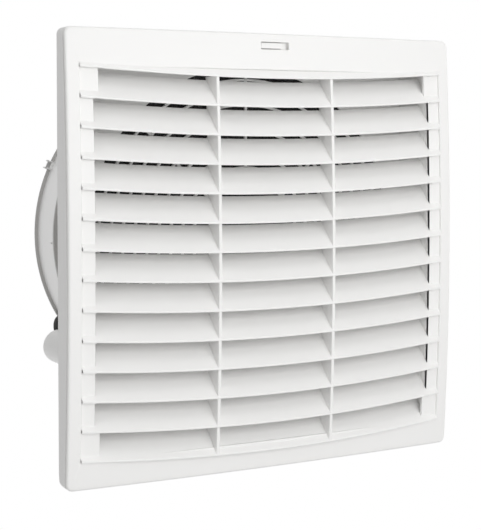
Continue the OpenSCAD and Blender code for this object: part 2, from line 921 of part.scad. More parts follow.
// A spring clip that holds a rim to the drum: a web behind the rim, and two thin prongs that pass
// over the rim with a tooth each and hook over a lug of the drum
module rim_clip(rim_face, towards) {
    r_in = drum_out_r + rim_clip_lift;
    r_strip = rim_r + ease;
    r_out = r_strip + rim_clip_t;
    outer = rim_face - towards * (ease + rim_clip_hook);
    inner = rim_face + towards * (rim_t + lug_at + lug_len + ease + rim_clip_hook);
    prong = rim_clip_w / 2 - rim_clip_t;
    difference() {
        union() {
            along_span(outer, inner, r_in, r_out, -rim_clip_w / 2, rim_clip_w / 2);
            for (s = [0, 1])
                mirror([0, 0, s])
                    along_span(outer, rim_face + towards * rim_t, r_strip, r_out + rim_clip_nub,
                        prong, rim_clip_w / 2);
        }
        along_span(outer + towards * rim_clip_hook, inner - towards * rim_clip_hook,
            r_in - over, r_strip, -rim_clip_w, rim_clip_w);
        along_span(outer + towards * rim_clip_hook, inner + towards * over,
            r_in - over, r_out + over, -prong, prong);
    }
}

// A block between two places along Y given in either order
module along_span(y0, y1, r0, r1, z0, z1) {
    box([r0, min(y0, y1), z0], [r1, max(y0, y1), z1]);
}

module rim_clips() {
    color("silver")
        for (a = [rim_clip_angle:90:rim_clip_angle + 270])
            at_angle(a) {
                rim_clip(ring_front_y, 1);
                rim_clip(guard_back_y, -1);
            }
}

module guard_ring(r) {
    ring_y(r - rim_t / 2, r + rim_t / 2, guard_front_y, guard_back_y - ease);
}

module rear_guard() {
    ring_count = floor((duct_r - plate_r) / grid_pitch) - 1;
    plate_back = guard_front_y + plate_t;
    spoke_w = 5;
    color("dimgray")
        difference() {
            union() {
                on_fan() {
                    ring_y(duct_r - rim_t, rim_r, guard_front_y, guard_back_y);
                    rod_y(plate_r, guard_front_y, plate_back);
                    for (i = [1:ring_count])
                        guard_ring(duct_r - grid_pitch * i);
                }
                for (a = [lead_angle:45:lead_angle + 315])
                    at_angle(a)
                        box([plate_r - spoke_w, guard_front_y, -spoke_w / 2],
                            [duct_r - rim_t / 2, guard_back_y, spoke_w / 2]);
            }
            for (a = [tab_angle:90:tab_angle + 270])
                at_angle(a)
                    translate([motor_screw_at_r, 0, 0])
                        rod_y(motor_screw_r + ring_screw_fit, guard_front_y - over, plate_back + over);
        }
}

// Motor

module motor_flange() {
    color("silver")
        on_fan()
            difference() {
                union() {
                    rod_y(motor_flange_r, motor_flange_y, guard_front_y);
                    rod_y(tube_r, tube_front_y, motor_flange_y + over);
                }
                rod_y(bearing_r, tube_front_y - over, shaft_back_y + over);
                for (a = [tab_angle:90:tab_angle + 270])
                    rotate([0, -a, 0])
                        translate([motor_screw_at_r, 0, 0])
                            rod_y(motor_screw_r, motor_flange_y + over / 2, guard_front_y + over);
            }
}

module stator_core() {
    color("slategray")
        on_fan()
            ring_y(tube_r, core_r, core_front_y, core_back_y);
}

module stator_winding() {
    color("peru")
        on_fan() {
            ring_y(tube_r + winding_in, core_r - winding_in, core_front_y - winding_len, core_front_y);
            ring_y(tube_r + winding_in, core_r - winding_in, core_back_y, core_back_y + winding_len);
        }
}

module bearings() {
    color("gray")
        on_fan() {
            ring_y(shaft_r + shaft_fit, bearing_r, bearing_front_y, bearing_front_y + bearing_w);
            ring_y(shaft_r + shaft_fit, bearing_r, bearing_back_y, bearing_back_y + bearing_w);
        }
}

module motor_screws() {
    plate_back_y = guard_front_y + plate_t;
    head_y = plate_back_y + motor_head_t;
    color("silver")
        for (a = [tab_angle:90:tab_angle + 270])
            at_angle(a)
                translate([motor_screw_at_r, 0, 0])
                    difference() {
                        union() {
                            rod_y(motor_screw_r, motor_flange_y + over, head_y - motor_head_t / 2);
                            rod_y(motor_head_r, plate_back_y, head_y);
                        }
                        rod_y(motor_screw_r, head_y - motor_head_t / 2, head_y + over, 6);
                    }
}

module rotor_can() {
    color("dimgray")
        on_fan()
            difference() {
                union() {
                    difference() {
                        rod_y(can_r, can_front_y, can_back_y);
                        rod_y(core_r + air_gap, can_front_y + can_wall_front, can_back_y + over);
                    }
                    rod_y(bearing_r - over, can_front_y, tube_front_y - ease);
                }
                rod_y(shaft_r, can_front_y - over, can_back_y + over);
            }
}

module shaft() {
    color("silver")
        on_fan()
            rod_y(shaft_r, can_front_y - over, shaft_back_y);
}

module circlip() {
    circlip_t = 1;
    circlip_y = bearing_back_y + bearing_w + ease;
    color("gray")
        on_fan()
            ring_y(shaft_r, (shaft_r + bearing_r) / 2, circlip_y, circlip_y + circlip_t);
}

// One blade: swept rings of points from the hub to the tip, pitched flatter and longer outwards
function blade_point(r, t, side) = let (
    s = (r - can_r) / (blade_tip_r - can_r),
    beta = blade_root_pitch + (blade_tip_pitch - blade_root_pitch) * s,
    chord = blade_root_chord + (blade_tip_chord - blade_root_chord) * s,
    along = (2 * t - 1) * chord / 2,
    thin = blade_t * (1 - (1 - blade_edge_share) * pow(2 * t - 1, 2)),
    lift = blade_camber * (1 - pow(2 * t - 1, 2)) + side * thin / 2,
    round_len = along * cos(beta) - lift * sin(beta),
    y = blade_y + along * sin(beta) + lift * cos(beta) - blade_camber * blade_set_share * cos(beta),
    a = -blade_sweep * s * s + round_len / r * 180 / PI)
    [r * cos(a), y, r * sin(a)];

module blade() {
    root = can_r + hub_wall - ease;
    skin([for (r = steps(root, blade_tip_r, blade_steps))
        concat([for (t = steps(0, 1, blade_cuts)) blade_point(r, t, 1)],
            [for (t = steps(1, 0, blade_cuts)) blade_point(r, t, -1)])]);
}

module impeller() {
    color("darkslategray")
        on_fan() {
            ring_y(can_r, can_r + hub_wall, can_front_y, can_back_y - over);
            for (i = [0:blade_count - 1])
                rotate([0, 360 * i / blade_count, 0])
                    blade();
        }
}

// Electrics

module capacitor() {
    can_y = collar_depth + cap_boss_h + cap_nut_h;
    color("gainsboro")
        translate([cap_x, 0, cap_z]) {
            rod_y(cap_r, can_y, collar_depth + cap_end - cap_edge);
            translate([0, collar_depth + cap_end - cap_edge, 0])
                rotate([-90, 0, 0])
                    cylinder(r1 = cap_r, r2 = cap_r - cap_edge, h = cap_edge, $fn = round_fn);
            rod_y(cap_stud_r, collar_depth + over, can_y + over);
        }
}

module capacitor_nut() {
    nut_y = collar_depth + cap_boss_h;
    color("silver")
        translate([cap_x, 0, cap_z])
            difference() {
                rod_y(cap_nut_r, nut_y, nut_y + cap_nut_h, 6);
                rod_y(cap_stud_r, nut_y - over, nut_y + cap_nut_h + over);
            }
}

box_back_y = collar_depth + box_deep;

// The two corners of the terminal box that take its lid's screws
function lid_screw_places() = [[box_left + lid_boss_in, box_foot + lid_boss_in],
    [box_right - lid_boss_in, box_top - lid_boss_in]];

module terminal_box() {
    color("lightgray")
        difference() {
            union() {
                difference() {
                    box([box_left, collar_depth, box_foot], [box_right, box_back_y, box_top]);
                    box([box_left + box_wall, block_y, box_foot + box_wall],
                        [box_right - box_wall, box_back_y + over, box_top - box_wall]);
                }
                for (p = lid_screw_places())
                    translate([p[0], 0, p[1]])
                        rod_y(lid_boss_r, collar_depth + box_wall / 2, box_back_y);
            }
            for (p = lid_screw_places())
                translate([p[0], 0, p[1]])
                    rod_y(lid_screw_r, box_back_y - 3 * lid_boss_r, box_back_y + over);
            translate([box_right, gland_y, gland_z])
                rotate([0, 90, 0])
                    cylinder(r = gland_thread_r, h = 2 * (box_wall + over), center = true, $fn = round_fn);
        }
}

module terminal_lid() {
    color("gainsboro")
        difference() {
            box([box_left, box_back_y, box_foot], [box_right, box_back_y + lid_t, box_top]);
            for (p = lid_screw_places())
                translate([p[0], 0, p[1]])
                    rod_y(lid_screw_r + ring_screw_fit, box_back_y - over, box_back_y + lid_t + over);
            translate([lead_in[0], 0, lead_in[1]])
                rod_y(lead_r + grommet_wall, box_back_y - over, box_back_y + lid_t + over);
        }
}

module lid_screws() {
    top = box_back_y + lid_t;
    color("silver")
        for (p = lid_screw_places())
            translate([p[0], 0, p[1]])
                difference() {
                    union() {
                        rod_y(lid_screw_r, box_back_y - 2 * lid_boss_r, top + lid_head_t / 2);
                        rod_y(lid_head_r, top, top + lid_head_t);
                    }
                    box([-lid_head_r - over, top + lid_head_t / 2, -lid_head_t / 4],
                        [lid_head_r + over, top + lid_head_t + over, lid_head_t / 4]);
                }
}

block_left = box_left + block_in;
block_foot = box_foot + block_in;
block_y = collar_depth + box_wall;

function pole_x(i) = block_left + block_w * (i + 0.5) / pole_count;

module terminal_block() {
    middle = block_foot + block_h / 2;
    color("white")
        difference() {
            box([block_left, block_y, block_foot],
                [block_left + block_w, block_y + block_t, block_foot + block_h]);
            for (i = [0:pole_count - 1])
                translate([pole_x(i), 0, middle]) {
                    rod_y(pole_r, block_y + block_t - pole_screw_deep, block_y + block_t + over);
                    translate([0, block_y + pole_r + over, 0])
                        cylinder(r = pole_r / 2, h = 2 * block_h, center = true, $fn = round_fn);
                }
        }
}

module terminal_screws() {
    middle = block_foot + block_h / 2;
    top = block_y + block_t;
    color("goldenrod")
        for (i = [0:pole_count - 1])
            translate([pole_x(i), 0, middle])
                difference() {
                    rod_y(pole_screw_r, top - pole_screw_deep, top - over);
                    box([-pole_r, top - 2 * over, -lid_head_t / 4], [pole_r, top, lid_head_t / 4]);
                }
}

// Moves its children to the cable gland: local Z points out of the terminal box
module on_gland() {
    translate([box_right, gland_y, gland_z])
        rotate([0, 90, 0])
            children();
}

module cable_gland() {
    body_len = box_wall + 3 * gland_hex_t;
    color("gray")
        on_gland()
            difference() {
                union() {
                    translate([0, 0, -box_wall - gland_hex_t])
                        cylinder(r = gland_thread_r, h = body_len, $fn = round_fn);
                    cylinder(r = gland_hex_r, h = gland_hex_t, $fn = 6);
                }
                translate([0, 0, -box_wall - gland_hex_t - over])
                    cylinder(r = gland_bore + gland_seal_t, h = body_len + 2 * over, $fn = round_fn);
            }
}

module gland_nut() {
    hex_share = 0.6;
    cone_share = 0.85;
    color("dimgray")
        on_gland()
            translate([0, 0, gland_hex_t])
                difference() {
                    union() {
                        cylinder(r = gland_hex_r, h = hex_share * gland_nut_len, $fn = 6);
                        translate([0, 0, hex_share * gland_nut_len])
                            cylinder(r1 = cone_share * gland_hex_r, r2 = gland_bore + gland_seal_t,
                                h = (1 - hex_share) * gland_nut_len, $fn = round_fn);
                    }
                    translate([0, 0, -over])
                        cylinder(r = gland_thread_r, h = gland_hex_t + over, $fn = round_fn);
                    cylinder(r = gland_bore, h = gland_nut_len + over, $fn = round_fn);
                }
}

module gland_seal() {
    color("black")
        on_gland()
            translate([0, 0, 2 * gland_hex_t - gland_seal_len])
                difference() {
                    cylinder(r = gland_bore + gland_seal_t, h = gland_seal_len, $fn = round_fn);
                    translate([0, 0, -over])
                        cylinder(r = gland_bore, h = gland_seal_len + 2 * over, $fn = round_fn);
                }
}

// The grommet that the lead passes through in the terminal box's lid
module lead_grommet() {
    r_in = lead_r + ease;
    color("black") {
        translate([lead_in[0], 0, lead_in[1]])
            difference() {
                union() {
                    rod_y(lead_r + grommet_wall, box_back_y - grommet_t, box_back_y + lid_t + grommet_t);
                    rod_y(lead_r + 2 * grommet_wall, box_back_y + lid_t, box_back_y + lid_t + grommet_t);
                    rod_y(lead_r + 2 * grommet_wall, box_back_y - grommet_t, box_back_y);
                }
                rod_y(r_in, box_back_y - over - grommet_t, box_back_y + lid_t + grommet_t + over);
            }
    }
}

// Motor lead

function lead_height(share) = lead_foot_y + (lead_y - lead_foot_y) * share;

function lead_route() = concat(
    [for (share = lead_guard_shares)
        let (r = motor_flange_r + (duct_r - motor_flange_r) * share)
            [r * cos(lead_angle), lead_y, fan_z + r * sin(lead_angle)]],
    [for (i = [0:len(lead_round) - 1])
        [cap_x + lead_round[i][0], lead_height(lead_round_shares[i]), cap_z + lead_round[i][1]]],
    [for (i = [0:len(lead_down) - 1])
        [lead_in[0] + lead_down[i][0], lead_height(lead_down_shares[i]), lead_in[1] + lead_down[i][1]]],
    [[lead_in[0], block_y + block_t + 2 * lead_r, lead_in[1]]]);

function spline(a, b, c, d, t) = 0.5 * (2 * b + (c - a) * t + (2 * a - 5 * b + 4 * c - d) * t * t
    + (3 * b - a - 3 * c + d) * t * t * t);

function smooth(route, n) = [for (i = [0:len(route) - 2], j = [0:n - 1])
    spline(route[max(i - 1, 0)], route[i], route[i + 1], route[min(i + 2, len(route) - 1)], j / n)];

function unit(v) = v / norm(v);

module motor_lead() {
    path = concat(smooth(lead_route(), lead_steps), [lead_route()[len(lead_route()) - 1]]);
    n = len(path);
    up = unit(lead_up_share);
    rings = [for (i = [0:n - 1])
        let (d = unit(path[min(i + 1, n - 1)] - path[max(i - 1, 0)]),
            side = unit(cross(d, up)), top = cross(side, d))
            [for (j = [0:lead_sides - 1])
                path[i] + lead_r * (cos(360 * j / lead_sides) * side + sin(360 * j / lead_sides) * top)]];
    color("black")
        skin(rings);
}

housing();
fan_duct();
wall_gasket();
snap_clip_tl();
snap_clip_tr();
snap_clip_bl();
snap_clip_br();
clip_pins();
front_cover();
hinge_pins();
latch();
latch_spring();
mat_grid();
filter_mat();
fan_ring();
ring_screws();
fan_drum();
rim_clips();
rear_guard();
motor_flange();
stator_core();
stator_winding();
bearings();
motor_screws();
rotor_can();
shaft();
circlip();
impeller();
capacitor();
capacitor_nut();
terminal_box();
terminal_lid();
lid_screws();
terminal_block();
terminal_screws();
cable_gland();
gland_nut();
gland_seal();
lead_grommet();
motor_lead();
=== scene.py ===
"""Dresses a filter fan: louvre cover, grid and mat, collar, drum, guard, motor and electrics.

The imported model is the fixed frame: Z up, louvres towards -Y, origin in the middle of the wall
cut-out. Shapes are worked out in millimetres and become metres where a mesh is made.
"""

import logging
import math
import random
from dataclasses import dataclass, field
from enum import Enum
from typing import Callable, Iterable, Sequence

import bmesh
import bpy
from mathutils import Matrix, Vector


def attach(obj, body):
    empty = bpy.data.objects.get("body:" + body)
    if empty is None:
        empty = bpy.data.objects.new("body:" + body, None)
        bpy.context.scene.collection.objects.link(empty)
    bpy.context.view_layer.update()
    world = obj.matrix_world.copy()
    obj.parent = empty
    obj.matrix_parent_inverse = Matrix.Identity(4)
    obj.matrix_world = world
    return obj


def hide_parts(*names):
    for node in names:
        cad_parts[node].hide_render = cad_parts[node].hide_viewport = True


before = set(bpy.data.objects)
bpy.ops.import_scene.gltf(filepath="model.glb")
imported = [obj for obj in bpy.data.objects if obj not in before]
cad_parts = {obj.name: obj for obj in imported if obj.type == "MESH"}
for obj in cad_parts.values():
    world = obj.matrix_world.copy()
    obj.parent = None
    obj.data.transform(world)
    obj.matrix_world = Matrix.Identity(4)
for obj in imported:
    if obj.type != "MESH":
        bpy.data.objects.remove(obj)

LOG = logging.getLogger("filter_fan")
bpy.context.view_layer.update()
MM = 0.001
FAN_AXIS = (0.0, 7.0)
LEAD_ANGLE = 212.0
SMOOTH_DEG = 32.0
ROUND_CUTS = 4
ROUND_SHARE = 0.49
QUARTER_CUTS = 6
WIRE_SIDES = 10

Point = tuple[float, float, float]
Point2 = tuple[float, float]
Colour = tuple[float, float, float]
Ring = list[Point]
Mesh, Object = bpy.types.Mesh, bpy.types.Object
Tree, Node, Socket = bpy.types.NodeTree, bpy.types.Node, bpy.types.NodeSocket
Feeds = dict[str | int, Socket | float | tuple[float, ...]]


# Shared mesh work


@dataclass
class Shape:
    """A growing list of vertices and faces, in millimetres."""

    vertices: list[Point] = field(default_factory=list)
    faces: list[tuple[int, ...]] = field(default_factory=list)

    def add(self, vertices: Iterable[Point], faces: Iterable[Sequence[int]]) -> None:
        """Adds points, and faces that count from the first of them."""
        start = len(self.vertices)
        self.vertices.extend(vertices)
        self.faces.extend(tuple(start + i for i in face) for face in faces)

    def loft(self, rings: Sequence[Ring], closed: bool = False) -> None:
        """Skins rings of equal length, and closes the ends with flat faces.

        Args:
            rings: rings of points, each in the same turning sense.
            closed: joins the last ring to the first instead.
        """
        count = len(rings[0])
        faces: list[tuple[int, ...]] = []
        for i in range(len(rings) if closed else len(rings) - 1):
            here, there = i * count, ((i + 1) % len(rings)) * count
            for j in range(count):
                k = (j + 1) % count
                faces.append((here + j, here + k, there + k, there + j))
        if not closed:
            faces.append(tuple(reversed(range(count))))
            faces.append(tuple((len(rings) - 1) * count + j for j in range(count)))
        self.add([p for ring in rings for p in ring], faces)

    def block(self, low: Point, high: Point, edge: float) -> None:
        """Adds a box between two corners, its edges along Y rounded by edge."""
        outline = rounded(oblong(low[0], low[2], high[0], high[2]), edge)
        self.loft([[(x, y, z) for x, z in outline] for y in (low[1], high[1])])

    def lathe(self, profile: Sequence[Point2], segments: int = 96, centre: Point2 = FAN_AXIS) -> None:
        """Turns a closed (radius, y) profile round a Y axis.

        Args:
            profile: closed outline of the section.
            segments: steps round the axis.
            centre: x and z of the axis.
        """
        rings = []
        for a in spread(0.0, 2 * math.pi, segments)[:-1]:
            rings.append([(centre[0] + r * math.cos(a), y, centre[1] + r * math.sin(a)) for r, y in profile])
        self.loft(rings, closed=True)

    def tube(self, path: Sequence[Point], radius: float, sides: int, closed: bool = False) -> None:
        """Sweeps a circle along a path, without twist.

        Args:
            path: points that the middle follows.
            radius: the tube's radius.
            sides: sides of the circle.
            closed: joins the end to the start.
        """
        points = [Vector(p) for p in path]
        count = len(points)
        side = None
        rings = []
        for i, p in enumerate(points):
            ahead = points[(i + 1) % count] if closed else points[min(i + 1, count - 1)]
            behind = points[i - 1] if closed else points[max(i - 1, 0)]
            along = (ahead - behind).normalized()
            if side is None:
                side = along.orthogonal()
            side = (side - along * side.dot(along)).normalized()
            top = along.cross(side)
            turns = [2 * math.pi * j / sides for j in range(sides)]
            rings.append([tuple(p + radius * (math.cos(a) * side + math.sin(a) * top)) for a in turns])
        self.loft(rings, closed=closed)

    def spoke(self, a: float, section: Sequence[Point2], near: float, far: float) -> None:
        """A straight bar out from the fan's axis.

        Args:
            a: its angle round the axis.
            section: its outline, as (across, y).
            near: radius where it starts.
            far: radius where it ends.
        """
        out, across = Vector((math.cos(a), 0, math.sin(a))), Vector((-math.sin(a), 0, math.cos(a)))
        rings = []
        for r in (near, far):
            centre = Vector((0, 0, FAN_AXIS[1])) + out * r
            rings.append([tuple(centre + across * w + Vector((0, y, 0))) for w, y in section])
        self.loft(rings)

    def mesh(self, name: str, smooth_deg: float = SMOOTH_DEG) -> Mesh:
        """Makes the Blender mesh.

        Args:
            name: name of the mesh.
            smooth_deg: edges that turn more than this stay sharp.

        Returns:
            The mesh, in metres, with its normals outwards.
        """
        data = bpy.data.meshes.new(name)
        data.from_pydata([tuple(c * MM for c in v) for v in self.vertices], [], self.faces)
        work = bmesh.new()
        work.from_mesh(data)
        bmesh.ops.recalc_face_normals(work, faces=work.faces)
        work.to_mesh(data)
        work.free()
        return smoothed(data, smooth_deg)


def smoothed(data: Mesh, smooth_deg: float = SMOOTH_DEG) -> Mesh:
    """The mesh, shaded smooth apart from edges that turn more than smooth_deg."""
    data.shade_smooth()
    data.set_sharp_from_angle(angle=math.radians(smooth_deg))
    return data


def oblong(x0: float, y0: float, x1: float, y1: float) -> list[Point2]:
    """The four corners of a rectangle, in turn."""
    return [(x0, y0), (x1, y0), (x1, y1), (x0, y1)]


def rounded(points: Sequence[Point2], radius: float | Sequence[float]) -> list[Point2]:
    """Rounds the corners of a closed outline.

    Args:
        points: the outline's corners.
        radius: one radius, or one for each corner.

    Returns:
        The outline with a round at each corner that has a radius.
    """
    count = len(points)
    radii = [radius] * count if isinstance(radius, (int, float)) else list(radius)
    out: list[Point2] = []
    for i, (p, r) in enumerate(zip(points, radii)):
        here, before, after = Vector(p), Vector(points[i - 1]), Vector(points[(i + 1) % count])
        back, ahead = (before - here), (after - here)
        if r <= 0:
            out.append((p[0], p[1]))
            continue
        # Two rounds on one side don't meet
        reach = min(r / math.tan(back.angle(ahead) / 2), ROUND_SHARE * min(back.length, ahead.length))
        start, end = here + back.normalized() * reach, here + ahead.normalized() * reach
        # A quadratic curve whose control point is the corner stays inside the corner
        for t in spread(0.0, 1.0, ROUND_CUTS):
            q = start * (1 - t) ** 2 + here * 2 * t * (1 - t) + end * t * t
            out.append((q.x, q.y))
    return out


def spread(low: float, high: float, count: int) -> list[float]:
    """count + 1 values from low to high at equal steps."""
    return [low + (high - low) * i / count for i in range(count + 1)]


def fan_point(r: float, y: float, a: float) -> Point:
    """The point at radius r, depth y and angle a round the fan's axis."""
    return (r * math.cos(a), y, FAN_AXIS[1] + r * math.sin(a))


def circle(r: float, y: float, segments: int) -> Ring:
    """Points round the fan's axis."""
    return [fan_point(r, y, a) for a in spread(0.0, 2 * math.pi, segments)[:-1]]


def put(name: str, data: bpy.types.ID) -> Object:
    """Makes an object of some data and links it to the scene."""
    made = bpy.data.objects.new(name, data)
    bpy.context.scene.collection.objects.link(made)
    return made


# Shader nodes, and effects that several materials share


def feed(tree: Tree, node: Node, feeds: Feeds) -> None:
    """Fills a node's inputs.

    Args:
        tree: the tree that the node is in.
        node: the node.
        feeds: a socket to link, or a plain value, for each input by name or number.
    """
    for key, value in feeds.items():
        if isinstance(value, Socket):
            tree.links.new(value, node.inputs[key])
        else:
            node.inputs[key].default_value = value


def wire(tree: Tree, kind: str, feeds: Feeds | None = None, **settings: object) -> Node:
    """Adds a shader node.

    Args:
        tree: the tree that gets it.
        kind: its type, without the word ShaderNode.
        feeds: what its inputs get.
        settings: values of its own properties.

    Returns:
        The new node.
    """
    node = tree.nodes.new(f"ShaderNode{kind}")
    for name, value in settings.items():
        setattr(node, name, value)
    feed(tree, node, feeds or {})
    return node


def place(tree: Tree) -> Socket:
    """The place on the object, which textures follow."""
    return wire(tree, "TexCoord").outputs["Object"]


def mixed(tree: Tree, share: Socket, low: Socket | Colour, high: Colour) -> Socket:
    """A colour between low and high, by the share of high."""
    first = (*low, 1.0) if isinstance(low, tuple) else low
    return wire(tree, "Mix", {"Factor": share, 6: first, 7: (*high, 1.0)}, data_type="RGBA").outputs[2]


def scaled(tree: Tree, value: Socket, low: float, high: float, span: Point2 = (0.0, 1.0)) -> Socket:
    """A value that runs over span, made to run from low to high and clamped."""
    feeds = {"From Min": span[0], "From Max": span[1], "To Min": low, "To Max": high, "Value": value}
    return wire(tree, "MapRange", feeds).outputs["Result"]


def noise(tree: Tree, detail: float, scale: Socket | float) -> Socket:
    """Noise over the object."""
    return wire(tree, "TexNoise", {"Detail": detail, "Vector": place(tree), "Scale": scale}).outputs["Fac"]


def product(tree: Tree, first: Socket, second: Socket) -> Socket:
    """Two values multiplied."""
    return wire(tree, "Math", {0: first, 1: second}, operation="MULTIPLY").outputs["Value"]


class Effect(Enum):
    """Node groups, each built once."""

    GRAIN = "moulded grain"
    SOFT_EDGES = "soft edges"
    EDGE_WEAR_AND_HIGHLIGHT = "rubbed edges with painted highlight"
    DUST = "settled dust"


def new_group(effect: Effect, inputs: Sequence[str], outputs: dict[str, str]) -> Tree:
    """An empty node group with its sockets.

    Args:
        effect: which effect it is.
        inputs: names of its value inputs.
        outputs: names and kinds of its outputs.

    Returns:
        The new tree, with its input and output nodes named "in" and "out".
    """
    tree = bpy.data.node_groups.new(effect.value, "ShaderNodeTree")
    for name in inputs:
        tree.interface.new_socket(name=name, in_out="INPUT", socket_type="NodeSocketFloat")
    for name, kind in outputs.items():
        tree.interface.new_socket(name=name, in_out="OUTPUT", socket_type=f"NodeSocket{kind}")
    tree.nodes.new("NodeGroupInput").name = "in"
    tree.nodes.new("NodeGroupOutput").name = "out"
    return tree


def build_grain() -> Tree:
    """Fine grain of a mould: a height, and a slow drift of tone from -1 to 1."""
    tree = new_group(Effect.GRAIN, ["Scale"], {"Height": "Float", "Tone": "Float"})
    scale = tree.nodes["in"].outputs["Scale"]
    tone = scaled(tree, noise(tree, 2.0, 12.0), -1.0, 1.0)
    feed(tree, tree.nodes["out"], {"Height": noise(tree, 3.0, scale), "Tone": tone})
    return tree


def build_soft_edges() -> Tree:
    """A normal that rounds every edge by a small radius, in metres."""
    tree = new_group(Effect.SOFT_EDGES, ["Radius"], {"Normal": "Vector"})
    soft = wire(tree, "Bevel", {"Radius": tree.nodes["in"].outputs["Radius"]}, samples=6)
    feed(tree, tree.nodes["out"], {"Normal": soft.outputs["Normal"]})
    return tree


def build_edge_wear_and_highlight() -> Tree:
    """A mask that is 1 within 0.6 mm of edges and broken up by noise, and 0 elsewhere: it marks rub wear and
    a painted edge highlight.
    """
    tree = new_group(Effect.EDGE_WEAR_AND_HIGHLIGHT, [], {"Mask": "Float"})
    soft = wire(tree, "Bevel", {"Radius": 0.0006}, samples=4).outputs["Normal"]
    flat = wire(tree, "NewGeometry").outputs["Normal"]
    turn = wire(tree, "VectorMath", {0: soft, 1: flat}, operation="DOT_PRODUCT").outputs["Value"]
    edge = scaled(tree, turn, 0.0, 1.0, (0.99, 0.85))
    broken = scaled(tree, noise(tree, 4.0, 400.0), 0.0, 1.0, (0.4, 0.65))
    feed(tree, tree.nodes["out"], {"Mask": product(tree, edge, broken)})
    return tree


def build_dust() -> Tree:
    """A mask of dust on what faces up, uneven by noise."""
    tree = new_group(Effect.DUST, [], {"Mask": "Float"})
    parts = wire(tree, "SeparateXYZ", {"Vector": wire(tree, "NewGeometry").outputs["Normal"]})
    up = scaled(tree, parts.outputs["Z"], 0.0, 1.0, (0.35, 1.0))
    feed(tree, tree.nodes["out"], {"Mask": product(tree, up, noise(tree, 6.0, 60.0))})
    return tree


EFFECT_BUILDERS: dict[Effect, Callable[[], Tree]] = dict(
    zip(Effect, (build_grain, build_soft_edges, build_edge_wear_and_highlight, build_dust))
)


def use_effect(tree: Tree, effect: Effect, output: str, feeds: Feeds | None = None) -> Socket:
    """An output of an effect, whose group is built the first time."""
    group = bpy.data.node_groups.get(effect.value) or EFFECT_BUILDERS[effect]()
    return wire(tree, "Group", feeds, node_tree=group).outputs[output]


# Finishes


@dataclass(frozen=True)
class Finish:
    """A surface with grain, drift of tone, soft edges, edges rubbed and lightened (partly a painted
    highlight), and dust.
    """

    slot: str
    colour: Colour
    roughness: float
    metallic: float = 0.0
    specular: float = 0.5
    coat: float = 0.0
    coat_roughness: float = 0.15
    sheen: float = 0.0
    grain_scale: float = 2500.0
    grain_height: float = 0.00004
    tone_spread: float = 0.02
    rough_spread: float = 0.04
    edge_radius: float = 0.0004
    # These two move the edges towards a colour: rub wear, and in part a painted edge highlight.
    rub_and_highlight: float = 0.0
    rub_and_highlight_colour: Colour = (0.8, 0.8, 0.8)
    dust: float = 0.0
    dust_colour: Colour = (0.55, 0.53, 0.5)

    def base(self, tree: Tree, tone: Socket) -> Socket:
        """The colour before the worn and highlit edges and dust: the finish's own, with its slow drift of
        tone.
        """
        dark = tuple(max(0.0, c * (1 - self.tone_spread)) for c in self.colour)
        light = tuple(min(1.0, c * (1 + self.tone_spread)) for c in self.colour)
        return mixed(tree, scaled(tree, tone, 0.0, 1.0, (-1.0, 1.0)), dark, light)

    def relief(self, tree: Tree, grain: Socket) -> Socket:
        """The height that the bump takes."""
        return grain

    def material(self) -> bpy.types.Material:
        """Builds the material once, and then returns the same one."""
        name = f"{self.slot}_finish"
        if name in bpy.data.materials:
            return bpy.data.materials[name]
        made = bpy.data.materials.new(name)
        made.use_nodes = True
        tree = made.node_tree
        tone = use_effect(tree, Effect.GRAIN, "Tone", {"Scale": self.grain_scale})
        colour = self.base(tree, tone)
        # Edges mix towards the edge colour: rub wear, and on the dark steel rims a painted highlight.
        if self.rub_and_highlight > 0:
            edges = use_effect(tree, Effect.EDGE_WEAR_AND_HIGHLIGHT, "Mask")
            colour = mixed(tree, scaled(tree, edges, 0.0, self.rub_and_highlight), colour, self.rub_and_highlight_colour)
        if self.dust > 0:
            dust = use_effect(tree, Effect.DUST, "Mask")
            colour = mixed(tree, scaled(tree, dust, 0.0, self.dust), colour, self.dust_colour)
        smooth, rough = self.roughness - self.rough_spread, self.roughness + self.rough_spread
        height = self.relief(tree, tone.node.outputs["Height"])
        bump = wire(tree, "Bump", {"Distance": self.grain_height, "Height": height})
        if self.edge_radius > 0:
            soft = use_effect(tree, Effect.SOFT_EDGES, "Normal", {"Radius": self.edge_radius})
            feed(tree, bump, {"Normal": soft})
        roughness = scaled(tree, tone, smooth, rough, (-1.0, 1.0))
        feed(tree, tree.nodes["Principled BSDF"], {
            "Base Color": colour, "Roughness": roughness, "Normal": bump.outputs["Normal"],
            "Metallic": self.metallic, "Specular IOR Level": self.specular, "Coat Weight": self.coat,
            "Coat Roughness": self.coat_roughness, "Sheen Weight": self.sheen,
        })
        return made


@dataclass(frozen=True)
class BrushedFinish(Finish):
    """Bare metal with fine lines along one axis."""

    grain_height: float = 0.00001
    edge_radius: float = 0.0002
    stretch: Point = (40.0, 2500.0, 40.0)

    def relief(self, tree: Tree, grain: Socket) -> Socket:
        """Noise drawn out into lines."""
        drawn = wire(tree, "Mapping", {"Vector": place(tree), "Scale": self.stretch}).outputs["Vector"]
        return wire(tree, "TexNoise", {"Vector": drawn, "Scale": 1.0}).outputs["Fac"]


@dataclass(frozen=True)
class BandedFinish(Finish):
    """Bands along Y: stacked sheets, or the turns of a winding."""

    band_pitch: float = 0.0005

    def relief(self, tree: Tree, grain: Socket) -> Socket:
        """A wave across the bands."""
        half = self.band_pitch / 2
        y = wire(tree, "SeparateXYZ", {"Vector": place(tree)}).outputs["Y"]
        wave = wire(tree, "Math", {0: y, 1: half}, operation="PINGPONG").outputs["Value"]
        return scaled(tree, wave, 0.0, 1.0, (0.0, half))


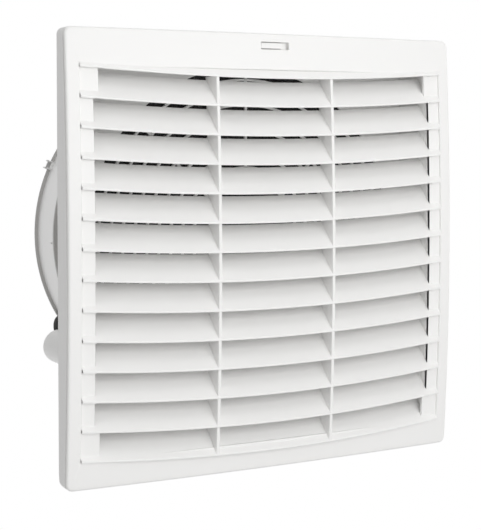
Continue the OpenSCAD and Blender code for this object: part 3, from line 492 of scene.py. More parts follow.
@dataclass(frozen=True)
class FibreFinish(Finish):
    """A mat of coarse fibre: tangled cells, with painted shade in the hollows between fibres."""

    edge_radius: float = 0.0
    cell_scale: float = 420.0
    fibre_width: float = 0.25
    # Share of the colour left in the painted shade between fibres.
    painted_shade_share: float = 0.25

    def fibre(self, tree: Tree) -> Socket:
        """1 on the fibres, falling to 0 between them."""
        feeds = {"Vector": place(tree), "Scale": self.cell_scale}
        cells = wire(tree, "TexVoronoi", feeds, feature="DISTANCE_TO_EDGE")
        return scaled(tree, cells.outputs["Distance"], 1.0, 0.0, (0.0, self.fibre_width))

    def base(self, tree: Tree, tone: Socket) -> Socket:
        """Painted shade between the fibres, and the finish's own colour on them."""
        dark = tuple(c * self.painted_shade_share for c in self.colour)
        return mixed(tree, self.fibre(tree), dark, self.colour)

    def relief(self, tree: Tree, grain: Socket) -> Socket:
        """Fibres stand out of the cells."""
        return self.fibre(tree)


COVER_PLASTIC = Finish(
    "cover_plastic", (0.96, 0.956, 0.944), 0.4, specular=0.35, grain_height=0.000012, tone_spread=0.008,
    edge_radius=0.0005,
)
HOUSING_PLASTIC = Finish("housing_plastic", (0.84, 0.836, 0.826), 0.3, grain_height=0.00002, dust=0.1)
DRUM_SHEET = BrushedFinish(
    "drum_sheet", (0.95, 0.947, 0.94), 0.42, metallic=0.3, grain_height=0.00004, edge_radius=0.0003,
    tone_spread=0.03, stretch=(14.0, 900.0, 14.0), dust=0.1,
)
# Its light edge colour is partly a painted highlight on the rims' edges, besides wear.
DARK_STEEL = Finish(
    "dark_steel", (0.55, 0.545, 0.53), 0.4, specular=0.3, grain_scale=1400.0, grain_height=0.00006,
    edge_radius=0.0003, rub_and_highlight=0.3, rub_and_highlight_colour=(0.72, 0.72, 0.71), dust=0.12,
)
STEEL = BrushedFinish("steel", (0.5, 0.5, 0.505), 0.36, metallic=1.0, rub_and_highlight=0.3)
ZINC = BrushedFinish("zinc", (0.8, 0.8, 0.795), 0.4, metallic=0.3, rub_and_highlight=0.2)
ALUMINIUM = Finish(
    "aluminium", (0.55, 0.555, 0.57), 0.5, metallic=1.0, grain_scale=900.0, grain_height=0.00008, dust=0.1,
)
LAMINATIONS = BandedFinish("laminations", (0.1, 0.1, 0.11), 0.5, metallic=0.8, grain_height=0.0001)
COPPER = BandedFinish(
    "copper", (0.55, 0.2, 0.07), 0.28, metallic=0.7, coat=0.6, grain_height=0.0003, band_pitch=0.0007,
)
ROTOR_PAINT = Finish(
    "rotor_paint", (0.02, 0.02, 0.021), 0.38, grain_scale=1200.0, grain_height=0.00005, rub_and_highlight=0.25,
    rub_and_highlight_colour=(0.25, 0.25, 0.25), dust=0.15,
)
BLADE_PLASTIC = Finish(
    "blade_plastic", (0.022, 0.022, 0.023), 0.46, grain_height=0.00003, rub_and_highlight=0.15,
    rub_and_highlight_colour=(0.12, 0.12, 0.12), dust=0.2,
)
RUBBER = Finish("rubber", (0.012, 0.012, 0.012), 0.62, grain_scale=1800.0, grain_height=0.00003, dust=0.15)
# Both fibre finishes paint shade into the hollows between their fibres.
FOAM = FibreFinish("foam", (0.06, 0.06, 0.06), 0.95, grain_height=0.0003, sheen=0.2, cell_scale=1300.0)
MAT_FIBRE = FibreFinish("mat_fibre", (0.045, 0.045, 0.045), 0.95, grain_height=0.0008, sheen=0.1)
CAPACITOR_PLASTIC = Finish("capacitor_plastic", (0.88, 0.875, 0.86), 0.3, coat=0.2, grain_height=0.00001)
CLIP_PLASTIC = Finish("clip_plastic", (0.15, 0.15, 0.155), 0.5, grain_height=0.00003, rub_and_highlight=0.2)
TERMINAL_PLASTIC = Finish("terminal_plastic", (0.72, 0.7, 0.6), 0.5, grain_height=0.00002)
BRASS = BrushedFinish("brass", (0.6, 0.42, 0.16), 0.3, metallic=1.0)


def add_piece(body: str, data: Mesh, finish: Finish, node: str) -> Object:
    """Makes a piece of a mesh and hangs it on the frame.

    Args:
        body: the CAD body that it moves with.
        data: its mesh, whose name it takes.
        finish: its finish, whose material is named after the finish's slot.
        node: the CAD node that it replaces.

    Returns:
        The new object.
    """
    made = put(data.name, data)
    data.materials.clear()
    data.materials.append(finish.material())
    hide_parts(node)
    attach(made, body)
    LOG.info("piece %s rides on %s: %d faces", made.name, body, len(data.polygons))
    return made


def dress(finish: Finish, *nodes: str) -> None:
    """Gives CAD nodes their finish.

    Args:
        finish: the finish.
        nodes: names of the nodes.
    """
    material = finish.material()
    for node in nodes:
        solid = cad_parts[node]
        if not solid.material_slots:
            solid.data.materials.append(material)
        for spot in solid.material_slots:
            spot.link = "OBJECT"
            spot.material = material
        LOG.info("node %s dressed in %s", node, material.name)


# Sub-assemblies


@dataclass
class LouvreCover:
    """The hinged front cover: border, sunk strips, bowed bars, uprights, walls and hinge ears."""

    half: float = 161.5
    edge_depth: float = 16.0
    wall: float = 2.5
    bulge_up: float = 6.4
    bulge_across: float = 4.6
    corner: float = 5.0
    corner_cuts: int = 8
    small_corner: float = 0.6
    face_corner: float = 1.5
    edge_round: float = 1.9
    back_edge: float = 0.4
    groove: tuple[Point2, ...] = ((0.0, 1.8), (1.6, 1.6), (1.6, 0.6), (0.0, 0.4))
    face_edge: float = 2.0
    louvre_edge: float = 0.5
    wall_gap: float = 0.6
    rows: int = 13
    louvre_top: float = 134.5
    louvre_foot: float = -140.8
    lip_half: float = 151.5
    open_half: float = 141.5
    strip_sink: float = 1.7
    strip_cover: float = 1.0
    lip_height: float = 1.8
    slat_gap: float = 1.2
    lip_proud: float = 1.0
    lip_bow: float = 7.0
    nose: float = 3.9
    lip_round: float = 0.5
    skin: float = 0.3
    hollow: float = 34.0
    hollow_cuts: int = 10
    inset: float = 4.0
    end_wall: float = 1.2
    upright: float = 2.6
    upright_x: float = 48.0
    upright_rise: float = 0.9
    upright_play: float = 0.3
    upright_rounds: tuple[float, ...] = (0.7, 0.7, 0.3, 0.3)
    hinge_y: float = -9.0
    hinge_r: float = 9.0
    hinge_x: float = 105.0
    ear_gap: float = 4.3
    ear: float = 5.0
    eye: float = 4.0
    eye_cuts: int = 24
    web: float = 0.5
    slot_x: Point2 = (-10.55, 12.95)
    slot_y: Point2 = (-40.0, -16.6)
    slot_z: Point2 = (149.5, 155.1)
    latch_z: float = 152.3
    latch_half: float = 5.0
    latch_thick: float = 2.6
    latch_play: float = 0.3
    rail: float = 2.1
    rail_lip: float = 2.3
    rail_x: Point2 = (-25.0, 17.0)
    rail_face_x: float = -24.0
    stop_x: Point2 = (33.5, 36.0)
    stop_back: float = -7.7
    cuts: int = 60
    rest: Shape = field(default_factory=Shape)

    @property
    def pitch(self) -> float:
        """Distance between two bars."""
        return (self.louvre_top - self.louvre_foot) / self.rows

    @property
    def slat_deep(self) -> float:
        """Depth of a slat behind its lip."""
        return self.pitch - self.lip_height - self.slat_gap

    @property
    def hinge_z(self) -> float:
        """Height of the hinge's axis."""
        return self.hinge_r - self.half

    def swell_up(self, z: float) -> float:
        """How far the face stands out at a height."""
        return self.bulge_up * (1 - (z / self.half) ** 2)

    def face_y(self, x: float, z: float) -> float:
        """The cover's face."""
        return -(self.edge_depth + self.swell_up(z) + self.bulge_across * (1 - (x / self.half) ** 2))

    def bow(self, x: float) -> float:
        """How far a bar bows forward and down at x."""
        return self.lip_bow * (1 - (x / self.half) ** 2)

    def bar_z(self, row: int) -> float:
        """Height of a bar's foot before its bow."""
        return self.louvre_top - self.pitch * row

    def back_y(self, z: float) -> float:
        """The back edge of the cover's walls at z, round about the hinge at its foot."""
        under = (self.hinge_z - z) / self.hinge_r
        if under <= 0:
            return -self.wall_gap
        return self.hinge_y + (self.hinge_r - self.wall_gap) * math.sqrt(max(0.0, 1 - under * under))

    def outline(self, half: float, up: Point2, radius: float) -> list[Point2]:
        """A rectangle with round corners, always with the same number of points.

        Args:
            half: half its width.
            up: its lowest and highest z.
            radius: radius of its corners.

        Returns:
            Its (x, z) points.
        """
        steps = self.corner_cuts
        arcs = []
        for i, (x, z) in enumerate(((half, up[1]), (-half, up[1]), (-half, up[0]), (half, up[0]))):
            cx, cz = x - math.copysign(radius, x), z + (radius if i > 1 else -radius)
            turns = [math.radians(90.0 * i + 90.0 * s / steps) for s in range(steps + 1)]
            arcs.append([(cx + radius * math.cos(a), cz + radius * math.sin(a)) for a in turns])
        ring: list[Point2] = []
        for arc, after in zip(arcs, arcs[1:] + arcs[:1]):
            (x0, z0), (x1, z1) = arc[-1], after[0]
            ring += arc
            for s in range(1, self.cuts):
                t = s / self.cuts
                ring.append((x0 + (x1 - x0) * t, z0 + (z1 - z0) * t))
        return ring

    def outer(self, inset: float, corner: float | None = None) -> list[Point2]:
        """The cover's outline, drawn in by inset."""
        radius = max(self.corner - inset, self.small_corner) if corner is None else corner
        return self.outline(self.half - inset, (inset - self.half, self.half - inset), radius)

    def face_ring(self, inset: float, sink: float, corner: float | None = None) -> Ring:
        """The cover's outline drawn in by inset, sink behind the face."""
        return [(x, self.face_y(x, z) + sink, z) for x, z in self.outer(inset, corner)]

    def back_ring(self, inset: float, ahead: float) -> Ring:
        """The cover's outline drawn in by inset, ahead of the walls' back edge."""
        grown = self.half / (self.half - inset)
        return [(x, self.back_y(z * grown) - ahead, z) for x, z in self.outer(inset)]

    def louvre_ring(self, grown: float, sink: float) -> Ring:
        """The outline of the louvre's opening, sink behind the face."""
        up = (self.louvre_foot - grown, self.louvre_top + grown)
        outline = self.outline(self.lip_half + grown, up, self.small_corner)
        return [(x, self.face_y(x, z) + sink, z) for x, z in outline]

    def border(self) -> Mesh:
        """The border with its outer walls: one closed shell round the louvre.

        Returns:
            Its mesh.
        """
        edge, back = self.edge_round, self.back_edge
        rings = [self.back_ring(back, 0.0), self.back_ring(0.0, back)]
        rings += [self.face_ring(inset, edge + sink) for inset, sink in self.groove]
        for a in spread(0.0, math.pi / 2, QUARTER_CUTS):
            rings.append(self.face_ring(edge * (1 - math.cos(a)), edge * (1 - math.sin(a))))
        rings.append(self.face_ring(edge + self.face_edge, 0.0, self.face_corner))
        rings += [self.louvre_ring(*at) for at in ((self.louvre_edge, 0.0), (0.0, back), (0.0, self.wall))]
        rings.append(self.face_ring(self.wall + edge, self.wall, self.face_corner))
        rings.append(self.face_ring(self.wall, self.wall + edge))
        rings += [self.back_ring(self.wall, back), self.back_ring(self.wall - back, 0.0)]
        head = Shape()
        head.loft(rings, closed=True)
        return head.mesh("cover_border")

    def strip(self, across: Point2, up: Point2) -> None:
        """A sunk strip: a curved plate behind the cover's face.

        Args:
            across: x of its sides, in any order.
            up: z of its foot and top.
        """
        rings = []
        for z in spread(*up, self.cuts):
            front = [(x, self.face_y(x, z) + self.strip_sink, z) for x in spread(*sorted(across), 6)]
            rings.append(front + [(x, y + self.wall, z) for x, y, z in reversed(front)])
        self.rest.loft(rings)

    def bar_section(self, x: float, row: int, deep: float, inset: float = 0.0) -> Ring:
        """A bar's outline at x: a slat that rises at 45 degrees, or a wedge where it lies on the strips.

        Args:
            x: place along the bar.
            row: number of the bar from the top.
            deep: depth of the slat there.
            inset: how far the outline is drawn in, for the hollow in a bar's end.

        Returns:
            The ring of points.
        """
        y = -(self.edge_depth + self.swell_up(self.bar_z(row)) + self.lip_proud + self.bow(x))
        z = self.bar_z(row) - self.bow(x)
        foot = z if deep == self.nose else z + deep
        slope = inset * math.sqrt(2.0)
        corners = [
            (y + inset, z + inset),
            (y + deep, foot + inset),
            (y + deep, z + self.lip_height + deep - slope),
            (y + inset, z + self.lip_height + inset - slope),
        ]
        return [(x, py, pz) for py, pz in rounded(corners, self.lip_round)]

    def bar(self, row: int) -> None:
        """One bar: a bright lip with its slat behind it, and ends that are hollow as moulded.

        Args:
            row: its number from the top.
        """
        middle = self.nose + self.lip_bow - self.bulge_across if row == 0 else self.slat_deep
        end, neck = self.lip_half, self.open_half + self.skin
        inside = spread(end - self.hollow, end, self.hollow_cuts)
        across = spread(-self.open_half, self.open_half, self.cuts)
        rings = [self.bar_section(-x, row, self.nose, self.skin) for x in inside]
        rings += [self.bar_section(x, row, self.nose) for x in (-end, -neck)]
        rings += [self.bar_section(x, row, middle) for x in across]
        rings += [self.bar_section(x, row, self.nose) for x in (neck, end)]
        rings += [self.bar_section(x, row, self.nose, self.skin) for x in reversed(inside)]
        self.rest.loft(rings)

    def upright_plate(self, x: float) -> None:
        """One upright between the slats, its front edge rounded.

        Args:
            x: where its middle stands.
        """
        bow, play, half = self.bow(x), self.upright_play, self.upright / 2
        reach = self.lip_proud + bow
        rings = []
        low, high = self.louvre_foot - bow + self.upright_rise, self.louvre_top - bow + self.upright_rise
        for z in spread(low, high, self.cuts):
            front = -self.edge_depth - self.swell_up(z + bow) - reach + play
            section = oblong(x - half, front, x + half, front + self.slat_deep - 2 * play)
            rings.append([(px, py, z) for px, py in rounded(section, self.upright_rounds)])
        self.rest.loft(rings)

    def side_wall(self, side: float) -> None:
        """The thin wall that closes the slats' ends.

        Args:
            side: 1 for the right and -1 for the left.
        """
        rings = []
        reach = self.slat_deep - self.skin - self.lip_proud - self.bow(self.open_half)
        near, far = side * self.open_half, side * (self.open_half + self.end_wall)
        for z in spread(self.louvre_foot - self.lip_height, self.louvre_top + self.lip_height, self.cuts):
            front = self.face_y(self.open_half, z) + self.strip_sink + self.skin
            back = -self.edge_depth - self.swell_up(z) + reach
            rings.append([(near, front, z), (near, back, z), (far, back, z), (far, front, z)])
        self.rest.loft(rings)

    def ears(self) -> None:
        """The four hinge ears at the cover's foot, rounded about the pins."""
        foot, y, z = self.wall / 2 - self.half, self.hinge_y, self.hinge_z
        turns = spread(0, math.pi, self.eye_cuts)
        section = [(y + self.eye * math.cos(a), z + self.eye * math.sin(a)) for a in turns]
        section += [(y - self.eye, foot), (y - self.web, foot), (y - self.web, z - self.eye)]
        for side in (-1, 1):
            for ear in (-1, 1):
                middle = side * self.hinge_x + ear * (self.ear_gap + self.ear / 2)
                ends = (middle - self.ear / 2, middle + self.ear / 2)
                self.rest.loft([[(x, py, pz) for py, pz in section] for x in ends])

    def rails(self) -> None:
        """The two rails and the stop that guide the latch behind the cover's head."""
        lip, play, top = self.rail_lip, self.latch_play, self.half - self.wall / 2
        low, high = self.latch_z - self.latch_half - play, self.latch_z + self.latch_half + play
        foot = low - self.rail
        front = self.face_y(self.rail_face_x, self.latch_z) + self.wall / 2
        under = self.face_y(self.rail_face_x, self.latch_z + self.latch_half + self.rail) + self.wall + play
        back = under + self.latch_thick + play + lip
        arms = [(front, foot, low), (front, high, top)]
        lips = [(back - lip, foot, low + lip), (back - lip, high - lip, top)]
        for y, z0, z1 in arms + lips:
            self.rest.block((self.rail_x[0], y, z0), (self.rail_x[1], back, z1), play)
        self.rest.block((self.stop_x[0], front, foot), (self.stop_x[1], self.stop_back, top), play)

    def with_slot(self, data: Mesh) -> Mesh:
        """Cuts the latch's slot through the cover's head.

        Args:
            data: the border's mesh.

        Returns:
            The mesh with its slot.
        """
        cutter = Shape()
        low, high = zip(self.slot_x, self.slot_y, self.slot_z)
        cutter.block(low, high, self.small_corner)
        hole, blank = put("slot_cutter", cutter.mesh("slot_cutter")), put("cover_blank", data)
        cut = blank.modifiers.new("slot", "BOOLEAN")
        cut.operation = "DIFFERENCE"
        cut.solver = "EXACT"
        cut.object = hole
        graph = bpy.context.evaluated_depsgraph_get()
        result = bpy.data.meshes.new_from_object(blank.evaluated_get(graph))
        for made in (hole, blank):
            bpy.data.objects.remove(made)
        return result

    def build(self) -> None:
        """Builds the cover as one piece on its body."""
        low, high = self.louvre_foot - self.wall, self.louvre_top + self.wall
        for side in (-1, 1):
            outer, inner = side * (self.lip_half + self.strip_cover), side * self.open_half
            lug = side * (self.open_half - self.inset)
            self.strip((outer, inner), (low, high))
            self.strip((inner, lug), (self.louvre_top - self.pitch, high))
            self.strip((inner, lug), (low, self.louvre_foot + self.pitch))
            self.side_wall(side)
            self.upright_plate(side * self.upright_x)
        for row in range(self.rows + 1):
            self.bar(row)
        self.ears()
        self.rails()
        joined = bmesh.new()
        joined.from_mesh(self.with_slot(self.border()))
        joined.from_mesh(self.rest.mesh("cover_rest"))
        data = bpy.data.meshes.new("louvre_cover")
        joined.to_mesh(data)
        joined.free()
        add_piece("cover", smoothed(data), COVER_PLASTIC, "front_cover")
        dress(STEEL, "hinge_pins")


@dataclass
class Latch:
    """The sliding latch in the cover's head, with its spring."""

    spring_r: float = 3.2
    wire: float = 0.45
    curls: int = 7
    curl_cuts: int = 24
    spring_y: float = -11.2
    axis_z: float = 152.3
    start_x: float = 20.75
    end_x: float = 33.2

    def build(self) -> None:
        """Dresses the latch and winds its spring."""
        dress(COVER_PLASTIC, "latch")
        reach = self.spring_r - self.wire
        path = []
        for t in spread(0.0, 1.0, self.curls * self.curl_cuts):
            a = 2 * math.pi * self.curls * t
            x = self.start_x + self.wire + (self.end_x - self.start_x - 2 * self.wire) * t
            path.append((x, self.spring_y + reach * math.cos(a), self.axis_z + reach * math.sin(a)))
        spring = Shape()
        spring.tube(path, self.wire, WIRE_SIDES)
        add_piece("latch", spring.mesh("latch_spring_wire", 60), STEEL, "latch_spring")


@dataclass
class FilterStage:
    """The ring grid, the fibre mat behind it and the wall gasket."""

    half: float = 142.4
    front: float = 22.0
    back: float = 24.5
    edge: float = 0.3
    open_r: float = 131.4
    open_edge: float = 0.5
    pitch: float = 9.6
    bar: float = 1.8
    rings: int = 9
    spokes: int = 8
    spoke_end: float = 1.0
    segments: int = 192
    mat_half: float = 142.7
    mat_front: float = 24.8
    mat_back: float = 39.2
    mat_cells: int = 110
    mat_seed: int = 7
    mat_rough: float = 0.9
    mat_round: float = 3.0
    mat_droop: float = 0.35
    gasket_half: float = 150.5
    gasket_w: float = 3.7
    gasket_t: float = 1.4
    gasket_round: float = 0.6
    gasket_cuts: int = 24

    def square(self, inset: float, y: float) -> Ring:
        """The grid's outer edge, with as many points as its opening.

        Args:
            inset: how far it is drawn in.
            y: its depth.

        Returns:
            Its points.
        """
        ring = []
        for a in spread(0.0, 2 * math.pi, self.segments)[:-1]:
            reach = (self.half - inset) / max(abs(math.cos(a)), abs(math.sin(a)))
            ring.append((reach * math.cos(a), y, reach * math.sin(a)))
        return ring

    def grid(self) -> None:
        """The grid: a plate with a round opening, rings and eight spokes."""
        shape = Shape()
        edge, soft, half_bar = self.edge, self.open_edge, self.bar / 2
        r, front = self.open_r, self.front
        plate = [self.square(0.0, front + edge), self.square(edge, front), self.square(edge, front)]
        plate += [circle(*at, self.segments) for at in ((r + soft, front), (r, front + soft), (r, self.back))]
        plate.append(self.square(0.0, self.back))
        shape.loft(plate, closed=True)
        for i in range(1, self.rings + 1):
            r = self.open_r - self.pitch * i
            shape.lathe(rounded(oblong(r - half_bar, front, r + half_bar, self.back), soft), self.segments)
        section = rounded(oblong(-half_bar, front, half_bar, self.back), soft)
        near, far = self.open_r - self.pitch * self.rings, self.open_r + self.spoke_end
        for a in spread(0.0, 2 * math.pi, self.spokes)[:-1]:
            shape.spoke(a, section, near, far)
        add_piece("housing", shape.mesh("ring_grid"), COVER_PLASTIC, "mat_grid")

    def mat(self) -> None:
        """The mat: two faces, drooping at the edges and uneven like tangled fibre, and a wall between."""
        rng = random.Random(self.mat_seed)
        count, size = self.mat_cells, self.mat_cells + 1
        steps = spread(-self.mat_half, self.mat_half, count)
        points = []
        for face, toward in ((self.mat_front, 1.0), (self.mat_back, -1.0)):
            for z in steps:
                for x in steps:
                    edge = self.mat_half - max(abs(x), abs(z))
                    droop = max(0.0, self.mat_round - edge) ** 2 * self.mat_droop
                    points.append((x, face + toward * (droop + rng.random() * self.mat_rough), z))
        faces: list[tuple[int, ...]] = []
        for i in range(count):
            for j in range(count):
                a = i * size + j
                faces.append((a, a + 1, a + size + 1, a + size))
                b = a + size * size
                faces.append((b, b + size, b + size + 1, b + 1))
        rim = list(range(size)) + [i * size + count for i in range(1, size)]
        rim += [count * size + j for j in reversed(range(count))]
        rim += [i * size for i in reversed(range(1, count))]
        for p, q in zip(rim, rim[1:] + rim[:1]):
            faces.append((q, p, p + size * size, q + size * size))
        shape = Shape()
        shape.add(points, faces)
        made = add_piece("housing", shape.mesh("fibre_mat", 80), MAT_FIBRE, "filter_mat")

    def gasket(self) -> None:
        """The foam strip in the flange's groove, mitred at its corners."""
        rings = []
        half = self.gasket_w / 2
        middle = self.gasket_half - half
        section = rounded(oblong(-half, 0.0, half, -self.gasket_t), self.gasket_round)
        corners = [(1, 1), (-1, 1), (-1, -1), (1, -1)]
        for (sx, sz), (nx, nz) in zip(corners, corners[1:] + corners[:1]):
            for s in range(self.gasket_cuts):
                t = s / self.gasket_cuts
                x, z = middle * (sx + (nx - sx) * t), middle * (sz + (nz - sz) * t)
                out_x = sx if s == 0 or nx == sx else 0
                out_z = sz if s == 0 or nz == sz else 0
                rings.append([(x + w * out_x, y, z + w * out_z) for w, y in section])
        shape = Shape()
        shape.loft(rings, closed=True)
        add_piece("housing", shape.mesh("gasket_strip"), FOAM, "wall_gasket")

    def build(self) -> None:
        """Builds the stage."""
        self.grid()
        self.mat()
        self.gasket()


@dataclass
class RearGuard:
    """The rear rim, its wire rings and spokes, and the plate that carries the motor."""

    rim_in: float = 121.3
    rim_r: float = 130.4
    duct_r: float = 123.8
    front: float = 137.3
    back: float = 139.8
    pitch: float = 9.6
    rings: int = 7
    wire: float = 1.1
    wire_set: float = 0.15
    wire_cuts: int = 128
    rim_cuts: int = 192
    rim_rounds: tuple[float, ...] = (0.4, 0.9, 0.9, 0.4)
    spokes: int = 8
    spoke_w: float = 5.0
    spoke_round: float = 0.6
    spoke_r: Point2 = (41.0, 122.8)
    plate_r: float = 44.0
    plate_t: float = 3.0
    plate_rounds: tuple[float, ...] = (0.0, 0.4, 0.8, 0.0)
    hole: float = 2.1

    def build(self) -> None:
        """Builds the guard as one piece."""
        shape = Shape()
        rim = oblong(self.rim_in, self.front, self.rim_r, self.back)
        shape.lathe(rounded(rim, self.rim_rounds), self.rim_cuts)
        middle = (self.front + self.back) / 2 - self.wire_set
        for i in range(1, self.rings + 1):
            ring = circle(self.duct_r - self.pitch * i, middle, self.wire_cuts)
            shape.tube(ring, self.wire, WIRE_SIDES, closed=True)
        half = self.spoke_w / 2
        section = rounded(oblong(-half, self.front, half, self.back), self.spoke_round)
        for turn in spread(0.0, 360.0, self.spokes)[:-1]:
            shape.spoke(math.radians(LEAD_ANGLE + turn), section, *self.spoke_r)
        plate = oblong(self.hole, self.front, self.plate_r, self.front + self.plate_t)
        shape.lathe(rounded(plate, self.plate_rounds))
        add_piece("housing", shape.mesh("guard_grille"), DARK_STEEL, "rear_guard")


@dataclass
class Impeller:
    """The hub ring and its swept blades."""

    can_r: float = 41.5
    hub: float = 3.5
    hub_short: float = 1.0
    hub_cuts: int = 128
    hub_rounds: tuple[float, ...] = (0.2, 1.2, 1.2, 0.2)
    tip_r: float = 121.3
    front: float = 100.3
    back: float = 129.6
    count: int = 7
    thick: float = 2.2
    root_chord: float = 40.0
    tip_chord: float = 72.0
    root_pitch: float = 43.0
    tip_pitch: float = 21.0
    sweep: float = 16.0
    camber: float = 5.0
    edge_share: float = 0.35
    set_share: float = 0.6
    cuts_out: int = 22
    cuts_along: int = 20

    def blade_point(self, r: float, t: float, side: float, turn: float) -> Point:
        """A point of a blade's skin.

        Args:
            r: radius.
            t: share of the chord, from 0 to 1.
            side: 1 for the blade's back and -1 for its front.
            turn: how far the blade stands round the axis, in radians.

        Returns:
            The point.
        """
        s = (r - self.can_r) / (self.tip_r - self.can_r)
        beta = math.radians(self.root_pitch + (self.tip_pitch - self.root_pitch) * s)
        chord = self.root_chord + (self.tip_chord - self.root_chord) * s
        along = (2 * t - 1) * chord / 2
        swell = 1 - (2 * t - 1) ** 2
        thin = self.thick * (1 - (1 - self.edge_share) * (2 * t - 1) ** 2)
        lift = self.camber * swell + side * thin / 2
        round_len = along * math.cos(beta) - lift * math.sin(beta)
        rise = along * math.sin(beta) + (lift - self.camber * self.set_share) * math.cos(beta)
        a = math.radians(-self.sweep * s * s) + round_len / r
        return fan_point(r, (self.front + self.back) / 2 + rise, a - turn)

    def build(self) -> None:
        """Builds hub and blades as one moulding."""
        shape = Shape()
        ring = oblong(self.can_r, self.front, self.can_r + self.hub, self.back - self.hub_short)
        shape.lathe(rounded(ring, self.hub_rounds), self.hub_cuts)
        for i in range(self.count):
            turn = 2 * math.pi * i / self.count
            rings = []
            for r in spread(self.can_r + self.hub / 2, self.tip_r, self.cuts_out):
                loop = [self.blade_point(r, t, 1, turn) for t in spread(0, 1, self.cuts_along)]
                loop += [self.blade_point(r, t, -1, turn) for t in spread(1, 0, self.cuts_along)]
                rings.append(loop)
            shape.loft(rings)
        add_piece("rotor", shape.mesh("fan_blades", 40), BLADE_PLASTIC, "impeller")
        dress(ROTOR_PAINT, "rotor_can")
        dress(STEEL, "shaft", "circlip")


@dataclass
class Electrics:
    """Capacitor, terminal box with its gland, and the motor's lead."""

    cap_at: Point2 = (-122.6, -79.0)
    cap_r: float = 13.0
    cap_front: float = 54.0
    cap_back: float = 106.0
    cap_edge: float = 1.6
    cap_chamfer: float = 0.8
    crimp_at: float = 4.0
    crimp: float = 0.3
    rolled: tuple[Point2, ...] = ((1.4, 0.1), (1.9, 0.7))
    sunk: float = 0.9
    stud_r: float = 4.0
    stud_front: float = 43.0
    lead_r: float = 2.0
    lead_y: float = 135.1
    lead_cuts: int = 12
    lead_sides: int = 20
    lead_guard_r: tuple[float, ...] = (40, 60, 100, 118)
    lead_out: tuple[Point, ...] = (
        (-109.4, 135, -60.4), (-115.5, 129, -62.5), (-119.4, 120, -68), (-119, 112.5, -80),
        (-115.5, 105, -96), (-112.5, 94, -108), (-112, 84, -112), (-112, 61, -112),
    )

    def capacitor(self) -> None:
        """The can with its crimped groove, rolled edge and stud."""
        shape = Shape()
        r, e, axis = self.cap_r, self.cap_edge, 0.01
        groove, front, back = self.cap_front + self.crimp_at, self.cap_front, self.cap_back
        profile: list[Point2] = [
            (axis, self.stud_front), (self.stud_r, self.stud_front), (self.stud_r, front),
            (r - self.cap_chamfer, front), (r, front + self.cap_chamfer), (r, groove),
            (r - self.crimp, groove + self.crimp), (r - self.crimp, groove + 3 * self.crimp),
            (r, groove + 4 * self.crimp),
        ]
        for a in spread(0.0, math.pi / 2, QUARTER_CUTS):
            profile.append((r - e + e * math.cos(a), back - e + e * math.sin(a)))
        profile += [(r - e - inward, back - down) for inward, down in self.rolled]
        profile.append((axis, back - self.sunk))
        shape.lathe(profile, centre=self.cap_at)
        add_piece("housing", shape.mesh("capacitor_can"), CAPACITOR_PLASTIC, "capacitor")

    def lead(self) -> None:
        """The motor's lead, a smooth tube along its route."""
        a = math.radians(LEAD_ANGLE)
        route = [Vector(fan_point(r, self.lead_y, a)) for r in self.lead_guard_r]
        route += [Vector(p) for p in self.lead_out]
        last = len(route) - 1
        path = []
        for i in range(last):
            p0, p1, p2, p3 = route[max(i - 1, 0)], route[i], route[i + 1], route[min(i + 2, last)]
            slope, bend, turn = p2 - p0, 2 * p0 - 5 * p1 + 4 * p2 - p3, 3 * p1 - p0 - 3 * p2 + p3
            for t in spread(0.0, 1.0, self.lead_cuts)[:-1]:
                path.append(tuple(0.5 * (2 * p1 + slope * t + bend * t**2 + turn * t**3)))
        shape = Shape()
        shape.tube(path + [tuple(route[last])], self.lead_r, self.lead_sides)
        add_piece("housing", shape.mesh("motor_lead_tube", 50), RUBBER, "motor_lead")

    def build(self) -> None:
        """Builds and dresses the electrics."""
        self.capacitor()
        self.lead()
        dress(STEEL, "capacitor_nut", "lid_screws")
        dress(HOUSING_PLASTIC, "terminal_box", "terminal_lid")
        dress(TERMINAL_PLASTIC, "terminal_block")
        dress(BRASS, "terminal_screws")
        dress(CLIP_PLASTIC, "cable_gland", "gland_nut")
        dress(RUBBER, "gland_seal", "lead_grommet")


@dataclass
class Housing:
    """The collar with its duct, clips, drum, rims and motor, whose shapes the frame holds."""

    zinc: tuple[str, ...] = ("ring_screws", "rim_clips", "motor_screws", "bearings", "clip_pins")
    clips: tuple[str, ...] = ("snap_clip_tl", "snap_clip_tr", "snap_clip_bl", "snap_clip_br")

    def build(self) -> None:
        """Dresses the nodes."""
        dress(HOUSING_PLASTIC, "housing", "fan_duct")
        dress(DRUM_SHEET, "fan_drum")
        dress(DARK_STEEL, "fan_ring")
        dress(ZINC, *self.zinc)
        dress(CLIP_PLASTIC, *self.clips)
        dress(ALUMINIUM, "motor_flange")
        dress(LAMINATIONS, "stator_core")
        dress(COPPER, "stator_winding")


# The picture


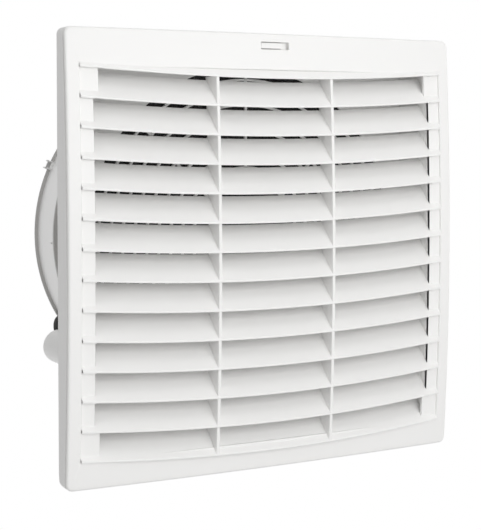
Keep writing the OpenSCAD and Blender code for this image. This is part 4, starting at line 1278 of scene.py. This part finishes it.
@dataclass
class Studio:
    """Camera, lamps, floor and background."""

    camera_at: Point = (-0.4755, -0.8692, 0.0871)
    camera_turn: float = -27.836
    camera_tilt: float = -2.213
    sensor: float = 36.0
    focal_px: float = 1312.1
    frame_px: float = 530.0
    frame_drop_px: float = 80.0
    floor_z: float = -0.55
    floor_half: float = 6.0
    floor_grey: Colour = (0.8, 0.8, 0.8)
    floor_roughness: float = 0.9
    sky: float = 0.445
    lamp_look: Point = (0.0, 0.05, 0.0)
    lamps: tuple[tuple[str, Point, Point2, float], ...] = (
        ("key", (0.1, -1.0, 0.32), (1.0, 0.6), 4.15),
        ("top", (0.0, -0.7, 1.1), (1.0, 0.6), 1.8),
        ("fill", (-0.35, -1.6, -0.2), (1.2, 0.8), 2.6),
    )

    def camera(self) -> None:
        """The photograph's view: a camera that looks slightly down, its frame shifted down."""
        data = bpy.data.cameras.new("camera")
        data.sensor_fit = "VERTICAL"
        data.sensor_height = self.sensor
        data.lens = self.focal_px / self.frame_px * self.sensor
        data.shift_y = -self.frame_drop_px / self.frame_px
        made = put("camera", data)
        made.location = self.camera_at
        made.rotation_euler = (math.radians(90 + self.camera_tilt), 0, math.radians(self.camera_turn))
        bpy.context.scene.camera = made

    def light(self) -> None:
        """Rectangular area lamps that face the part."""
        for name, at, size, power in self.lamps:
            data = bpy.data.lights.new(name, "AREA")
            data.shape = "RECTANGLE"
            data.size, data.size_y = size
            data.energy = power
            made = put(name, data)
            made.location = at
            made.rotation_euler = (Vector(self.lamp_look) - Vector(at)).to_track_quat("-Z", "Y").to_euler()

    def seen_white(self, tree: Tree) -> Socket:
        """Tells rays that make the picture from rays that make light.

        Args:
            tree: the node tree.

        Returns:
            1 for what the camera sees straight, mirrored or through glass, else 0.
        """
        path = wire(tree, "LightPath").outputs
        value = path["Is Camera Ray"]
        for name in ("Is Glossy Ray", "Is Transmission Ray"):
            value = wire(tree, "Math", {0: value, 1: path[name]}, operation="MAXIMUM").outputs["Value"]
        return value

    def world(self) -> None:
        """White to the eye, and a plain soft sky as light."""
        world = bpy.data.worlds.new("studio")
        world.use_nodes = True
        tree = world.node_tree
        level = scaled(tree, self.seen_white(tree), self.sky, 1.0)
        feed(tree, tree.nodes["Background"], {"Color": (1.0, 1.0, 1.0, 1.0), "Strength": level})
        bpy.context.scene.world = world

    def floor(self) -> None:
        """A plain floor far under the part, which hangs on its wall, seen as white."""
        shape = Shape()
        far, z = self.floor_half / MM, self.floor_z / MM
        shape.add([(x, y, z) for x, y in oblong(-far, -far, far, far)], [(0, 1, 2, 3)])
        made = put("floor", shape.mesh("floor"))
        paint = bpy.data.materials.new("floor")
        paint.use_nodes = True
        tree = paint.node_tree
        shader = tree.nodes["Principled BSDF"]
        feed(tree, shader, {"Base Color": (*self.floor_grey, 1.0), "Roughness": self.floor_roughness})
        white = wire(tree, "Emission").outputs["Emission"]
        mix = wire(tree, "MixShader", {0: self.seen_white(tree), 1: shader.outputs["BSDF"], 2: white})
        feed(tree, tree.nodes["Material Output"], {"Surface": mix.outputs["Shader"]})
        made.data.materials.append(paint)

    def build(self) -> None:
        """Sets up the picture."""
        bpy.context.scene.view_settings.view_transform = "Standard"
        self.camera()
        self.world()
        self.floor()
        self.light()


def main() -> None:
    """Builds the picture and every sub-assembly in order."""
    logging.basicConfig(level=logging.INFO, format="%(message)s")
    parts = (Studio, Housing, FilterStage, RearGuard, Impeller, Electrics, Latch, LouvreCover)
    for part in parts:
        part().build()


if __name__ == "__main__":
    main()
